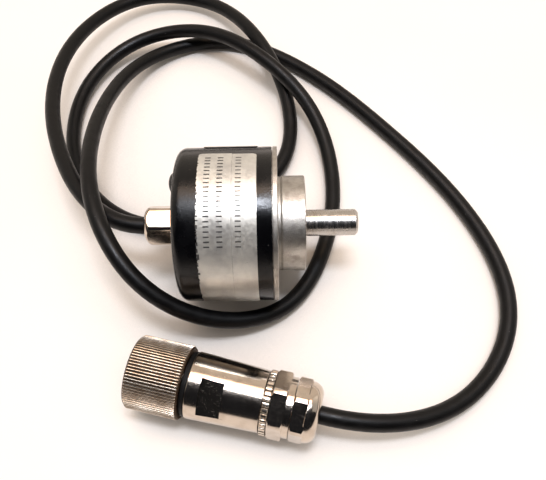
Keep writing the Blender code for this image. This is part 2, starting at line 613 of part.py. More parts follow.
def build_coupling_ring(nickel):
    (start, end), wall, lip, rim = COUPLING_ENDS, 0.0113, 0.0108, 0.0007
    outline = [(start, wall), (start, COUPLING_RADIUS - rim), (start + rim, COUPLING_RADIUS),
               (end - rim, COUPLING_RADIUS), (end, COUPLING_RADIUS - rim), (end, lip),
               (LIP_X, lip), (LIP_X, wall)]
    return turned("coupling_ring", outline, nickel, LARGE_SIDES)


def build_contact_insert(plastic):
    bevel = 0.0010
    outline = [(INSERT_FACE_X, 0.0), (INSERT_FACE_X, INSERT_RADIUS - bevel),
               (INSERT_FACE_X + bevel, INSERT_RADIUS), (0.0196, INSERT_RADIUS),
               (0.0196, 0.0084), (0.0260, 0.0084), (0.0260, 0.0)]
    return turned("contact_insert", outline, plastic)


def build_sleeve(finishes):
    """The sleeve tapers a little towards the cable and has one milled flat."""
    socket_start, socket, neck, inner = 0.0040, INSERT_RADIUS + GAP, 0.0105, 0.0088
    body_start, step_x = SLEEVE_X, 0.0200
    outline = [(socket_start, socket), (socket_start, neck), (body_start, neck),
               (body_start, SLEEVE_RADII[0]), (SLEEVE_END_X, SLEEVE_RADII[1]),
               (SLEEVE_END_X, inner), (step_x, inner), (step_x, socket)]
    sleeve = turned("connector_sleeve", outline, finishes["nickel"])
    flat_length, flat_width, flat_floor, flat_centre = 0.0082, 0.0140, 0.00975, 0.0286
    flat = block("cutter", (flat_length, flat_width, 0.0030), (flat_centre, 0.0, flat_floor + 0.0015))
    flat.data.transform(Matrix.Rotation(math.radians(FLAT_TURN), 4, "X"))
    combine(sleeve, flat, "DIFFERENCE")
    return sleeve


def build_adapter(nickel):
    """Hexagonal collar whose round neck enters the clamping nut."""
    start, end, edge = ADAPTER_X, ADAPTER_X + 0.0052, 0.0005
    corner, neck, tail, bore = ADAPTER_FLATS / math.sqrt(3) - 0.0002, 0.0107, 0.0084, 0.0076
    adapter = hexagon("adapter_hex", start, end, ADAPTER_FLATS, HEX_TURN, nickel)
    shape = [(start, 0.0), (start, corner - edge), (start + edge, corner), (end - edge, corner),
             (end, corner - edge), (end, 0.0)]
    combine(adapter, turned("tool", shape), "INTERSECT")
    combine(adapter, turned("tool", [(TAIL_X, 0.0), (TAIL_X, tail), (start + edge, tail),
                                     (end - edge, neck), (NUT_X - GAP, neck), (NUT_X - GAP, 0.0)]),
            "UNION")
    combine(adapter, solid(TAIL_X - 0.001, NUT_X + 0.001, bore, sides=SMALL_SIDES), "DIFFERENCE")
    return adapter


def build_clamp_nut(nickel):
    seal_room, mouth, shoulder, edge = 0.0075, 0.0066, 0.0107, 0.0005
    corner = NUT_FLATS / math.sqrt(3) - 0.0001
    nut = hexagon("clamp_nut", NUT_X, NUT_HEX_END_X, NUT_FLATS, HEX_TURN, nickel)
    shape = [(NUT_X, 0.0), (NUT_X, corner - edge), (NUT_X + edge, corner),
             (NUT_HEX_END_X - edge, corner), (NUT_HEX_END_X, corner - edge), (NUT_HEX_END_X, 0.0)]
    combine(nut, turned("tool", shape), "INTERSECT")
    combine(nut, turned("tool", domed_outline(NUT_HEX_END_X - edge, NUT_END_X, shoulder, mouth,
                                              NUT_END_X - NUT_HEX_END_X)), "UNION")
    combine(nut, solid(NUT_X - 0.001, SEAL_END_X + GAP, seal_room, sides=SMALL_SIDES), "DIFFERENCE")
    combine(nut, solid(SEAL_END_X, NUT_END_X + 0.001, CABLE_BORE_RADIUS, sides=SMALL_SIDES),
            "DIFFERENCE")
    return nut


def build_connector(finishes):
    """Round plug: local +X runs from the mating end to the cable."""
    nickel, rubber = finishes["nickel"], finishes["rubber"]
    ring_seat, ring_wall, o_ring_x = 0.0108, 0.0009, COUPLING_ENDS[1] + GAP
    pieces = [
        build_coupling_ring(nickel),
        build_contact_insert(finishes["insert_plastic"]),
        turned("sleeve_o_ring", [(o_ring_x, ring_seat), (o_ring_x, ring_seat + ring_wall),
                                 (SLEEVE_X - GAP, ring_seat + ring_wall),
                                 (SLEEVE_X - GAP, ring_seat)], rubber),
        build_sleeve(finishes),
        turned("serrated_ring", [(SLEEVE_END_X + GAP, 0.0092), (SLEEVE_END_X + GAP, 0.0114),
                                 (ADAPTER_X - GAP, 0.0114), (ADAPTER_X - GAP, 0.0092)], nickel),
        build_adapter(nickel),
        turned("clamp_seal", [(0.0575, CABLE_BORE_RADIUS), (0.0575, 0.0072),
                              (SEAL_END_X, 0.0072), (SEAL_END_X, CABLE_BORE_RADIUS)],
               rubber, SMALL_SIDES),
        build_clamp_nut(nickel),
    ]
    pivot = empty_on_axis("connector_pivot", (*CONNECTOR_MATE, COUPLING_RADIUS),
                          math.radians(CONNECTOR_TURN))
    for piece in pieces:
        piece.parent = pivot


# ---------------------------------------------------------------- assembly
def build():
    clear_scene()
    finishes = make_materials()
    build_flange_hub(finishes["cast_aluminium"])
    build_housing_cap(finishes["black_housing"])
    build_cap_o_ring(finishes["rubber"])
    build_rear_plug(finishes["black_plastic"])
    build_label("label_left", -0.0183, -0.00645, 62, 200, finishes["label_silver"])
    build_label("label_right", -0.00615, 0.0023, 62, 200, finishes["label_silver"])
    build_label("rating_plate", -0.0175, 0.0023, -50, 46, finishes["plate_dark"])
    build_shaft_seal(finishes["rubber"])
    build_bearing("front", FRONT_BEARING_X, finishes["bearing_steel"], finishes["cage_plastic"])
    build_bearing("rear", REAR_BEARING_X, finishes["bearing_steel"], finishes["cage_plastic"])
    build_bearing_retainers(finishes["spring_steel"])
    build_shaft(finishes["shaft_steel"])
    build_disc_group(finishes)
    build_scanning_unit(finishes)
    build_board(finishes)
    build_gland(finishes)
    build_cable(finishes["cable_black"])
    build_connector(finishes)
    for thing in bpy.data.objects:
        if thing.parent is None:
            thing.location.x += ORIGIN_SHIFT
    bpy.context.view_layer.update()


build()
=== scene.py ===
"""Looks for the shaft encoder: camera, cable, detailed pieces, materials and studio light.

Everything is in metres: +X runs along the shaft out of the flange, +Z is up, and the encoder
lies on its side on the plane Z = 0. Lengths along X are drawn from a zero that lies
ORIGIN_SHIFT along the row's X, and each piece is moved by that much when it is placed.
"""
import json
import math
import random

import bmesh
import bpy
import numpy as np
from mathutils import Matrix, Vector


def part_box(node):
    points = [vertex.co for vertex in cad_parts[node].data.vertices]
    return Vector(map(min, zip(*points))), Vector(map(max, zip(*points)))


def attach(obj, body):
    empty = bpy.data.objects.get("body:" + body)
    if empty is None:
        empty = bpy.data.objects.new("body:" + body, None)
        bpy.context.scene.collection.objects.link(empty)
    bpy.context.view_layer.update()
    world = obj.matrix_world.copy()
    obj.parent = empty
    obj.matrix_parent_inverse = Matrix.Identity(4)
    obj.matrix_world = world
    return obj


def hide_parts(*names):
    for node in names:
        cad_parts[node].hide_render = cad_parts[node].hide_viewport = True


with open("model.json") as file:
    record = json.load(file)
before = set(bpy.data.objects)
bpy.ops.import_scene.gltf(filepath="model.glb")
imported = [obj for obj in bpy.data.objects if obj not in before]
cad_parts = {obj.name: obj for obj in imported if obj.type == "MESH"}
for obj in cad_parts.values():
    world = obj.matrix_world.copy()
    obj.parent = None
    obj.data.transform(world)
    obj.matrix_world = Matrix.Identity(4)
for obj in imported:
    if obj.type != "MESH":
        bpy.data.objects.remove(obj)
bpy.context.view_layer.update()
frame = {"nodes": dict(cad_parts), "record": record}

ORIGIN_SHIFT = 0.0007           # the drawing's zero lies this far along the row's X


def node_box(node):
    """A node's lowest and highest corners, with X as in the drawing."""
    return [Vector(corner) - Vector((ORIGIN_SHIFT, 0.0, 0.0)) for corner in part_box(node)]


# ---------------------------------------------------------------- sizes read from the frame
hub_low, hub_high = node_box("flange_hub")
cap_low, cap_high = node_box("housing_cap")
shaft_low, shaft_high = node_box("shaft")
gland_low, gland_high = node_box("gland_nut")
plug_low, plug_high = node_box("rear_plug")

PLUG_Y = (plug_low[1] + plug_high[1]) / 2
PLUG_Z = (plug_low[2] + plug_high[2]) / 2
BODY_RADIUS = (hub_high[2] - hub_low[2]) / 2
AXIS_HEIGHT = (hub_high[2] + hub_low[2]) / 2
HUB_END_X = hub_high[0]
SHAFT_TIP_X = shaft_high[0]
SHAFT_REAR_X = shaft_low[0]
REAR_FACE_X = cap_low[0]
CAP_FRONT_X = cap_high[0]
GLAND_START_X = gland_high[0]
GLAND_END_X = gland_low[0]

FLANGE_FACE_X = 0.0095
FLANGE_REAR_X = FLANGE_FACE_X - 0.0017
HUB_RADIUS = 0.018
SHAFT_RADIUS = 0.005
CABLE_RADIUS = 0.00325
REST_HEIGHT = 0.0033            # centre of the cable where it lies on the floor
CONNECTOR_MATE = (-0.04096, -0.05243, 0.0133)
CONNECTOR_TURN = -14.23         # degrees about +Z, from +X to the connector's axis
HOLE_CIRCLE_RADIUS = 0.024
HOLE_RADII = (0.00165, 0.00125)  # the two sizes take turns round the circle
HOLE_DEPTH = 0.005
HEX_EDGE = 0.0009               # taken off the long edges of the hexagons
HEX_CHAMFER = 0.0005            # at the ends of the connector's two hexagons
CORNER_TURNED_OFF = 0.0004      # their corners lose this much radius
CABLE_HOLE_RADIUS = 0.0036

# Route of the cable's centre from the gland to the connector.
CABLE_ROUTE = [
    (-0.0368, 0.0, 0.029), (-0.0415, 0.0, 0.029), (-0.052, 0.0022, 0.029),
    (-0.064, 0.0112, 0.0283), (-0.0785, 0.0335, 0.026), (-0.0912, 0.0772, 0.021),
    (-0.081, 0.132, 0.013), (-0.057, 0.1535, 0.0085), (-0.03, 0.153, 0.0065),
    (-0.0055, 0.1295, 0.0103), (0.0105, 0.098, 0.0082), (0.0158, 0.064, 0.0033),
    (0.007, 0.0405, 0.0033), (-0.012, 0.0275, 0.0033), (-0.0262, 0.019, 0.0033),
    (-0.041, 0.0153, 0.0033), (-0.056, 0.019, 0.0033), (-0.0755, 0.0365, 0.0033),
    (-0.086, 0.069, 0.0033), (-0.0805, 0.1, 0.005), (-0.0601, 0.1211, 0.008),
    (-0.03, 0.1224, 0.0135), (0.0005, 0.1022, 0.017), (0.0247, 0.0752, 0.0097),
    (0.0338, 0.041, 0.0036), (0.0292, 0.0055, 0.0033), (0.0113, -0.0238, 0.0045),
    (-0.0177, -0.0318, 0.0135), (-0.0437, -0.0217, 0.0285), (-0.0595, 0.004, 0.0358),
    (-0.067, 0.0415, 0.0295), (-0.0656, 0.0799, 0.017), (-0.0535, 0.11, 0.007),
    (-0.024, 0.125, 0.0033), (0.0207, 0.107, 0.0033), (0.0607, 0.0648, 0.0033),
    (0.0914, 0.0175, 0.0033), (0.0992, -0.029, 0.0034), (0.0762, -0.0619, 0.0048),
    (0.02545, -0.06928, 0.0133), (0.01963, -0.0678, 0.0133),
]


# ---------------------------------------------------------------- camera
CAMERA_PLACE = (0.0097 + ORIGIN_SHIFT, -0.1254, 0.2352)
CAMERA_YAW, CAMERA_PITCH, CAMERA_ROLL = -1.07, 60.19, 1.88    # degrees
CAMERA_LENS = 41.8              # millimetres, on a sensor 36 mm wide


def make_camera():
    """Look down at the encoder; yaw turns right from +Y and pitch is below the horizon."""
    yaw, pitch, roll = map(math.radians, (CAMERA_YAW, CAMERA_PITCH, CAMERA_ROLL))
    forward = Vector((math.sin(yaw) * math.cos(pitch), math.cos(yaw) * math.cos(pitch),
                      -math.sin(pitch)))
    level_right = Vector((math.cos(yaw), -math.sin(yaw), 0.0))
    level_down = forward.cross(level_right)
    right = math.cos(roll) * level_right + math.sin(roll) * level_down
    down = -math.sin(roll) * level_right + math.cos(roll) * level_down
    data = bpy.data.cameras.new("camera")
    data.lens = CAMERA_LENS
    data.sensor_width = 36.0
    data.clip_start = 0.01
    camera = bpy.data.objects.new("camera", data)
    turn = Matrix((right, -down, -forward)).transposed()
    camera.matrix_world = Matrix.Translation(CAMERA_PLACE) @ turn.to_4x4()
    bpy.context.scene.collection.objects.link(camera)
    bpy.context.scene.camera = camera


# ---------------------------------------------------------------- material helpers
class Finish:
    """A Principled material under construction, with short calls for its nodes."""

    def __init__(self, name, colour, roughness, metallic=0.0, **more):
        self.material = bpy.data.materials.new(name)
        self.material.use_nodes = True
        self.tree = self.material.node_tree
        self.shader = self.tree.nodes["Principled BSDF"]
        self.shader.inputs["Base Color"].default_value = (*colour, 1.0)
        self.shader.inputs["Roughness"].default_value = roughness
        self.shader.inputs["Metallic"].default_value = metallic
        for socket, value in more.items():
            self.shader.inputs[socket.replace("_", " ")].default_value = value
        self.place = self.node("ShaderNodeTexCoord").outputs["Object"]
        self.height = None

    def node(self, kind, inputs=None, **settings):
        made = self.tree.nodes.new(kind)
        for key, value in settings.items():
            setattr(made, key, value)
        for key, value in (inputs or {}).items():
            if isinstance(value, bpy.types.NodeSocket):
                self.tree.links.new(value, made.inputs[key])
            else:
                made.inputs[key].default_value = value
        return made

    def stretched(self, scale):
        """Object coordinates scaled apart along the three axes."""
        return self.node("ShaderNodeMapping", {"Vector": self.place, "Scale": scale}).outputs[0]

    def noise(self, size, detail=3.0, stretch=(1, 1, 1), rough=0.5):
        """Noise between 0 and 1 whose features are about `size` metres across."""
        scale = tuple(axis / size for axis in stretch)
        made = self.node("ShaderNodeTexNoise", {"Vector": self.stretched(scale), "Scale": 1.0,
                                                "Detail": detail, "Roughness": rough})
        return made.outputs["Fac"]

    def cells(self, size):
        """Distance to the nearest of many points about `size` metres apart."""
        scale = (1 / size, 1 / size, 1 / size)
        made = self.node("ShaderNodeTexVoronoi", {"Vector": self.stretched(scale), "Scale": 1.0})
        return made.outputs["Distance"]

    def span(self, value, low, high, to_low=0.0, to_high=1.0):
        """Map a value between two limits, smoothly and clamped."""
        made = self.node("ShaderNodeMapRange", {"Value": value, "From Min": low, "From Max": high,
                                                "To Min": to_low, "To Max": to_high},
                         interpolation_type="SMOOTHSTEP")
        return made.outputs["Result"]

    def maths(self, operation, a, b=0.0):
        return self.node("ShaderNodeMath", {0: a, 1: b}, operation=operation).outputs[0]

    def mix(self, factor, a, b):
        """Mix two colours, each a socket or three numbers."""
        made = self.node("ShaderNodeMix", {"Factor": factor}, data_type="RGBA")
        for key, value in (("A", a), ("B", b)):
            socket = [s for s in made.inputs if s.name == key and s.type == "RGBA"][0]
            if isinstance(value, bpy.types.NodeSocket):
                self.tree.links.new(value, socket)
            else:
                socket.default_value = (*value, 1.0)
        return [s for s in made.outputs if s.type == "RGBA"][0]

    def set_colour(self, socket):
        self.tree.links.new(socket, self.shader.inputs["Base Color"])

    def set_roughness(self, socket):
        self.tree.links.new(socket, self.shader.inputs["Roughness"])

    def bump(self, height, distance, strength=1.0):
        """Add relief; `distance` is its height in metres."""
        settings = {"Height": height, "Distance": distance, "Strength": strength}
        if self.height is not None:
            settings["Normal"] = self.height
        self.height = self.node("ShaderNodeBump", settings).outputs["Normal"]
        self.tree.links.new(self.height, self.shader.inputs["Normal"])

    def radius(self):
        """Distance from the object's X axis."""
        parts = self.node("ShaderNodeSeparateXYZ", {"Vector": self.place})
        squares = [self.maths("POWER", parts.outputs[axis], 2.0) for axis in ("Y", "Z")]
        return self.maths("SQRT", self.maths("ADD", *squares))


def black_coating():
    f = Finish("black_coating", (0.0012, 0.0012, 0.0016), 0.3, Specular_IOR_Level=0.31)
    peel = f.noise(0.0009, 2.0)
    f.bump(peel, 0.00004)
    f.bump(f.noise(0.00022, 2.0), 0.000010)
    smudge = f.span(f.noise(0.011, 4.0), 0.42, 0.66)
    f.set_roughness(f.span(smudge, 0.0, 1.0, 0.20, 0.30))
    dust = f.span(f.cells(0.0016), 0.07, 0.045)
    rare = f.span(f.noise(0.006, 1.0), 0.60, 0.66)
    f.set_colour(f.mix(f.maths("MULTIPLY", dust, rare),
                       (0.0012, 0.0012, 0.0016), (0.26, 0.24, 0.21)))
    return f.material


def black_moulding():
    f = Finish("black_moulding", (0.012, 0.011, 0.010), 0.25)
    f.bump(f.noise(0.0006, 2.0), 0.000012)
    f.set_roughness(f.span(f.noise(0.003), 0.35, 0.65, 0.2, 0.34))
    return f.material


def blasted_aluminium():
    f = Finish("blasted_aluminium", (0.46, 0.435, 0.40), 0.42, 1.0)
    grain = f.noise(0.00016, 3.0, rough=0.65)
    pits = f.cells(0.00055)
    f.bump(grain, 0.000030)
    f.bump(pits, 0.000045)
    stain = f.span(f.noise(0.006, 5.0, rough=0.65), 0.38, 0.66)
    f.set_colour(f.mix(stain, (0.475, 0.45, 0.41), (0.33, 0.305, 0.275)))
    f.set_roughness(f.span(f.noise(0.0005, 2.0), 0.3, 0.7, 0.34, 0.52))
    return f.material


def foil_label():
    f = Finish("foil_label", (0.62, 0.60, 0.55), 0.36, 0.75)
    cloud = f.span(f.noise(0.009, 5.0, rough=0.6), 0.35, 0.68)
    fleck = f.span(f.cells(0.0011), 0.10, 0.05)
    rare = f.span(f.noise(0.004, 2.0), 0.58, 0.66)
    base = f.mix(cloud, (0.66, 0.64, 0.58), (0.50, 0.485, 0.45))
    f.set_colour(f.mix(f.maths("MULTIPLY", fleck, rare), base, (0.10, 0.095, 0.085)))
    f.set_roughness(f.span(f.noise(0.0012, 3.0), 0.3, 0.7, 0.33, 0.46))
    f.bump(f.noise(0.0045, 3.0), 0.00007)
    f.bump(f.noise(0.0003, 2.0), 0.000008)
    return f.material


def dark_plate():
    f = Finish("dark_plate", (0.030, 0.026, 0.022), 0.45)
    f.bump(f.noise(0.0008, 3.0), 0.000015)
    f.set_roughness(f.span(f.noise(0.004), 0.35, 0.65, 0.38, 0.52))
    return f.material


def label_ink():
    f = Finish("label_ink", (0.035, 0.033, 0.030), 0.5)
    worn = f.span(f.noise(0.0013, 3.0), 0.52, 0.70)
    f.set_colour(f.mix(worn, (0.035, 0.033, 0.030), (0.20, 0.19, 0.175)))
    f.set_roughness(f.span(f.noise(0.002), 0.3, 0.7, 0.45, 0.6))
    return f.material


def ground_steel():
    f = Finish("ground_steel", (0.50, 0.475, 0.45), 0.24, 1.0)
    lines = f.noise(0.00009, 2.0, stretch=(1.0, 0.02, 0.02))
    f.bump(lines, 0.0000012)
    f.set_roughness(f.span(f.noise(0.0012, 3.0, stretch=(1, 0.3, 0.3)), 0.35, 0.7, 0.22, 0.32))
    f.set_colour(f.mix(f.span(f.noise(0.007, 3.0), 0.4, 0.7),
                       (0.51, 0.485, 0.46), (0.42, 0.385, 0.35)))
    return f.material


def plated_nickel():
    f = Finish("plated_nickel", (0.62, 0.54, 0.46), 0.16, 1.0)
    wear = f.span(f.noise(0.005, 4.0), 0.42, 0.68)
    f.set_colour(f.mix(wear, (0.62, 0.54, 0.46), (0.54, 0.46, 0.385)))
    scratch = f.noise(0.00025, 2.0, stretch=(0.08, 1.0, 1.0))
    f.set_roughness(f.span(f.noise(0.0009, 4.0), 0.35, 0.7, 0.13, 0.18))
    f.bump(scratch, 0.0000022)
    nick = f.span(f.noise(0.00045, 4.0, rough=0.7), 0.62, 0.74)
    f.bump(f.maths("MULTIPLY", nick, f.span(f.noise(0.006, 2.0), 0.45, 0.6)), 0.000014)
    return f.material


def knurled_nickel(name, groove_radius, crest_radius):
    """Nickel with painted shade in its grooves, picked out by distance from the ring's own axis.
    """
    f = Finish(name, (0.70, 0.63, 0.55), 0.24, 1.0)
    crest = f.span(f.radius(), groove_radius, crest_radius)
    # painted shade: the grooves are coloured near black, while the crests keep the nickel colour
    groove_shade = f.mix(f.noise(0.0012, 3.0), (0.030, 0.018, 0.010), (0.13, 0.085, 0.055))
    worn = f.mix(f.span(f.noise(0.004, 4.0), 0.4, 0.65), (0.68, 0.60, 0.51), (0.52, 0.43, 0.34))
    f.set_colour(f.mix(crest, groove_shade, worn))
    f.set_roughness(f.span(crest, 0.0, 1.0, 0.6, 0.26))
    f.bump(f.noise(0.0002, 3.0), 0.000015)
    return f.material


def milled_dark():
    f = Finish("milled_dark", (0.004, 0.0035, 0.003), 0.6, Specular_IOR_Level=0.15)
    grit = f.cells(0.00035)
    f.bump(grit, 0.00006)
    # painted glints: sparse bright specks in the colour of the dark flat
    painted_glints = f.maths("MULTIPLY", f.span(f.noise(0.0004, 4.0, rough=0.8), 0.60, 0.66),
                    f.span(f.noise(0.002, 2.0), 0.42, 0.6))
    f.set_colour(f.mix(painted_glints, (0.004, 0.0035, 0.003), (0.40, 0.36, 0.30)))
    return f.material


def bearing_steel():
    f = Finish("bearing_steel", (0.68, 0.68, 0.69), 0.1, 1.0)
    f.set_roughness(f.span(f.noise(0.0015), 0.35, 0.7, 0.07, 0.16))
    f.bump(f.noise(0.0001, 2.0), 0.000001)
    return f.material


def spring_steel():
    f = Finish("spring_steel", (0.20, 0.20, 0.22), 0.3, 1.0)
    f.set_roughness(f.span(f.noise(0.002), 0.35, 0.7, 0.24, 0.4))
    f.bump(f.noise(0.0002, 2.0), 0.000004)
    return f.material


def moulded(name, colour, roughness):
    """Plain technical plastic with a fine moulded skin."""
    f = Finish(name, colour, roughness)
    f.bump(f.noise(0.0004, 3.0), 0.000010)
    f.set_roughness(f.span(f.noise(0.002), 0.3, 0.7, roughness * 0.85, roughness * 1.2))
    return f.material


def turned_brass():
    f = Finish("turned_brass", (0.80, 0.58, 0.28), 0.22, 1.0)
    f.bump(f.noise(0.00012, 2.0, stretch=(1.0, 0.02, 0.02)), 0.000002)
    f.set_roughness(f.span(f.noise(0.002), 0.35, 0.7, 0.18, 0.3))
    return f.material


def contact_gold():
    f = Finish("contact_gold", (0.93, 0.70, 0.32), 0.2, 1.0)
    f.set_roughness(f.span(f.noise(0.0006), 0.35, 0.7, 0.16, 0.28))
    return f.material


def clear_glass(name, tint):
    f = Finish(name, tint, 0.04, Transmission_Weight=0.9)
    f.set_roughness(f.span(f.noise(0.003), 0.35, 0.7, 0.03, 0.08))
    return f.material


def board_green():
    f = Finish("board_green", (0.02, 0.16, 0.07), 0.35)
    tracks = f.span(f.noise(0.0016, 1.0, stretch=(1, 3.0, 0.4)), 0.5, 0.53)
    f.set_colour(f.mix(tracks, (0.015, 0.12, 0.05), (0.03, 0.20, 0.09)))
    f.bump(tracks, 0.00003)
    return f.material


def cable_sheath():
    f = Finish("cable_sheath", (0.0024, 0.0022, 0.0022), 0.42, Specular_IOR_Level=0.2)
    f.bump(f.noise(0.00035, 3.0), 0.000012)
    f.bump(f.noise(0.006, 2.0), 0.00005)
    f.set_roughness(f.span(f.noise(0.004, 4.0), 0.35, 0.7, 0.36, 0.50))
    dust = f.span(f.cells(0.0022), 0.06, 0.04)
    rare = f.span(f.noise(0.008, 1.0), 0.56, 0.64)
    f.set_colour(f.mix(f.maths("MULTIPLY", dust, rare),
                       (0.0024, 0.0022, 0.0022), (0.16, 0.15, 0.14)))
    return f.material


def nitrile():
    f = Finish("nitrile", (0.004, 0.004, 0.004), 0.5, Specular_IOR_Level=0.2)
    f.bump(f.noise(0.0003, 3.0), 0.00001)
    f.set_roughness(f.span(f.noise(0.002), 0.3, 0.7, 0.42, 0.6))
    return f.material


def pale_floor():
    """Warm white table lit a little from within, which keeps open shadows on it light."""
    f = Finish("pale_floor", (0.44, 0.41, 0.38), 0.6)
    f.set_colour(f.mix(f.span(f.noise(0.12, 2.0), 0.3, 0.7),
                       (0.45, 0.42, 0.39), (0.43, 0.40, 0.37)))
    f.bump(f.noise(0.0006, 2.0), 0.00001)
    open_sky = f.node("ShaderNodeAmbientOcclusion", {"Distance": 0.07}, samples=8).outputs["AO"]
    glow = f.mix(f.span(open_sky, 0.20, 0.85), (0.03, 0.026, 0.022), (0.50, 0.44, 0.39))
    f.tree.links.new(glow, f.shader.inputs["Emission Color"])
    f.shader.inputs["Emission Strength"].default_value = 1.0
    return f.material


# ---------------------------------------------------------------- mesh helpers
SHARP_ANGLE = 32.0              # degrees a surface turns before its edge is shown sharp
RIBBED_SHARP_ANGLE = 38.0
BEVEL_SEGMENTS = 3
AXIS_TOLERANCE = 1e-7           # points of an outline this near the axis close it


def finished(name, mesh, materials, sharp=SHARP_ANGLE):
    """Link a mesh as an object with smooth faces and sharp edges where it turns hard."""
    mesh.validate()
    mesh.shade_smooth()
    mesh.set_sharp_from_angle(angle=math.radians(sharp))
    for made in materials:
        mesh.materials.append(made)
    thing = bpy.data.objects.new(name, mesh)
    bpy.context.scene.collection.objects.link(thing)
    return thing


def softened(points, closed=False):
    """Round off an outline of (axial, radius, fillet) points; a fillet of 0 keeps a corner."""
    made = []
    count = len(points)
    for index, (axial, radius, fillet) in enumerate(points):
        here = Vector((axial, radius))
        if fillet == 0 or (not closed and index in (0, count - 1)):
            made.append(here)
            continue
        before = Vector(points[index - 1][:2]) - here
        after = Vector(points[(index + 1) % count][:2]) - here
        reach = min(fillet, before.length * 0.45, after.length * 0.45)
        start, end = here + before.normalized() * reach, here + after.normalized() * reach
        made.append(here + before.normalized() * reach * 1.1)
        for step in range(5):
            share = step / 4
            made.append((1 - share) ** 2 * start + 2 * share * (1 - share) * here
                        + share ** 2 * end)
        made.append(here + after.normalized() * reach * 1.1)
    return [(point.x, point.y) for point in made]


def revolve(name, outline, materials, sides=160, closed=False):
    """Turn an outline of (axial, radius) about X. Open outlines start and end on the axis."""
    verts, faces, rings = [], [], []
    for axial, radius in outline:
        if radius < AXIS_TOLERANCE:
            rings.append([len(verts)] * sides)
            verts.append((axial, 0.0, 0.0))
            continue
        rings.append(list(range(len(verts), len(verts) + sides)))
        for step in range(sides):
            angle = 2 * math.pi * step / sides
            verts.append((axial, radius * math.cos(angle), radius * math.sin(angle)))
    pairs = list(zip(rings, rings[1:]))
    if closed:
        pairs.append((rings[-1], rings[0]))
    for lower, upper in pairs:
        for step in range(sides):
            ahead = (step + 1) % sides
            corners = [lower[step], lower[ahead], upper[ahead], upper[step]]
            corners = list(dict.fromkeys(corners))
            if len(corners) > 2:
                faces.append(corners)
    return closed_piece(name, verts, faces, materials)


def outward(mesh):
    """Turn every face of a closed mesh outwards."""
    bm = bmesh.new()
    bm.from_mesh(mesh)
    bmesh.ops.recalc_face_normals(bm, faces=bm.faces)
    bm.to_mesh(mesh)
    bm.free()


def closed_piece(name, verts, faces, materials, sharp=SHARP_ANGLE):
    mesh = bpy.data.meshes.new(name)
    mesh.from_pydata(verts, [], faces)
    outward(mesh)
    return finished(name, mesh, materials, sharp)


def ribbed(name, stations, wave, count, samples, materials):
    """Turn closed stations of (axial, radius, depth); `wave` cuts `count` grooves that deep."""
    sides = count * samples
    verts, faces = [], []
    for axial, radius, depth in stations:
        for step in range(sides):
            angle = 2 * math.pi * step / sides
            here = radius - depth * wave((step % samples) / samples)
            verts.append((axial, here * math.cos(angle), here * math.sin(angle)))
    rows = len(stations)
    for row in range(rows):
        for step in range(sides):
            ahead, above = (step + 1) % sides, (row + 1) % rows
            faces.append((row * sides + step, row * sides + ahead,
                          above * sides + ahead, above * sides + step))
    return closed_piece(name, verts, faces, materials, RIBBED_SHARP_ANGLE)


def hex_prism(name, start, end, flats, turn, materials, edge=0.0):
    """A hexagonal bar along X; `edge` is the width taken off its long edges."""
    corner = flats / math.sqrt(3)
    angles = [math.radians(turn + 60 * step) for step in range(6)]
    verts = [(x, corner * math.cos(a), corner * math.sin(a)) for x in (start, end) for a in angles]
    faces = [list(range(6)), list(range(11, 5, -1))]
    faces += [(i, 6 + i, 6 + (i + 1) % 6, (i + 1) % 6) for i in range(6)]
    mesh = bpy.data.meshes.new(name)
    mesh.from_pydata(verts, [], faces)
    if edge:
        bm = bmesh.new()
        bm.from_mesh(mesh)
        long_edges = [e for e in bm.edges if abs(e.verts[0].co.x - e.verts[1].co.x) > 0.0001]
        bmesh.ops.bevel(bm, geom=long_edges, offset=edge, offset_type="OFFSET",
                        segments=BEVEL_SEGMENTS, profile=0.5, affect="EDGES")
        bm.to_mesh(mesh)
        bm.free()
    outward(mesh)
    return finished(name, mesh, materials)


def apply_modifiers(thing):
    bpy.context.view_layer.update()
    graph = bpy.context.evaluated_depsgraph_get()
    result = bpy.data.meshes.new_from_object(thing.evaluated_get(graph), depsgraph=graph)
    thing.modifiers.clear()
    thing.data = result


def combine(target, tool, operation):
    """Apply an exact Boolean and remove the tool."""
    modifier = target.modifiers.new("cut", "BOOLEAN")
    modifier.operation, modifier.solver, modifier.object = operation, "EXACT", tool
    apply_modifiers(target)
    bpy.data.objects.remove(tool, do_unlink=True)
    target.data.set_sharp_from_angle(angle=math.radians(SHARP_ANGLE))


def edge_softened(thing, width):
    """Bevel the sharp edges and let the large faces keep their flat shading."""
    bevel = thing.modifiers.new("bevel", "BEVEL")
    bevel.width, bevel.segments = width, BEVEL_SEGMENTS
    bevel.limit_method, bevel.angle_limit = "ANGLE", math.radians(28)
    bevel.use_clamp_overlap = True
    apply_modifiers(thing)
    thing.data.shade_smooth()
    thing.data.set_sharp_from_angle(angle=math.radians(40.0))
    weighted = thing.modifiers.new("weighted", "WEIGHTED_NORMAL")
    weighted.keep_sharp = True
    apply_modifiers(thing)


def on_shaft(thing, y=0.0, z=0.0):
    """Put a piece on the shaft's axis, or on a line beside it."""
    thing.matrix_world = Matrix.Translation((ORIGIN_SHIFT, y, AXIS_HEIGHT + z))
    return thing


def on_connector(thing, y=0.0, z=0.0):
    """Put a piece on the connector's axis, or on a line beside it."""
    thing.matrix_world = (Matrix.Translation((ORIGIN_SHIFT, 0.0, 0.0))
                          @ Matrix.Translation(CONNECTOR_MATE)
                          @ Matrix.Rotation(math.radians(CONNECTOR_TURN), 4, "Z")
                          @ Matrix.Translation((0.0, y, z)))
    return thing


def belongs(thing, body, slot, *nodes):
    """Ride on a CAD body and stand for CAD nodes; the slot argument is not used."""
    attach(thing, body)
    if nodes:
        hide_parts(*nodes)
    return thing


# ---------------------------------------------------------------- cable
def unit(vector):
    return vector / np.linalg.norm(vector)


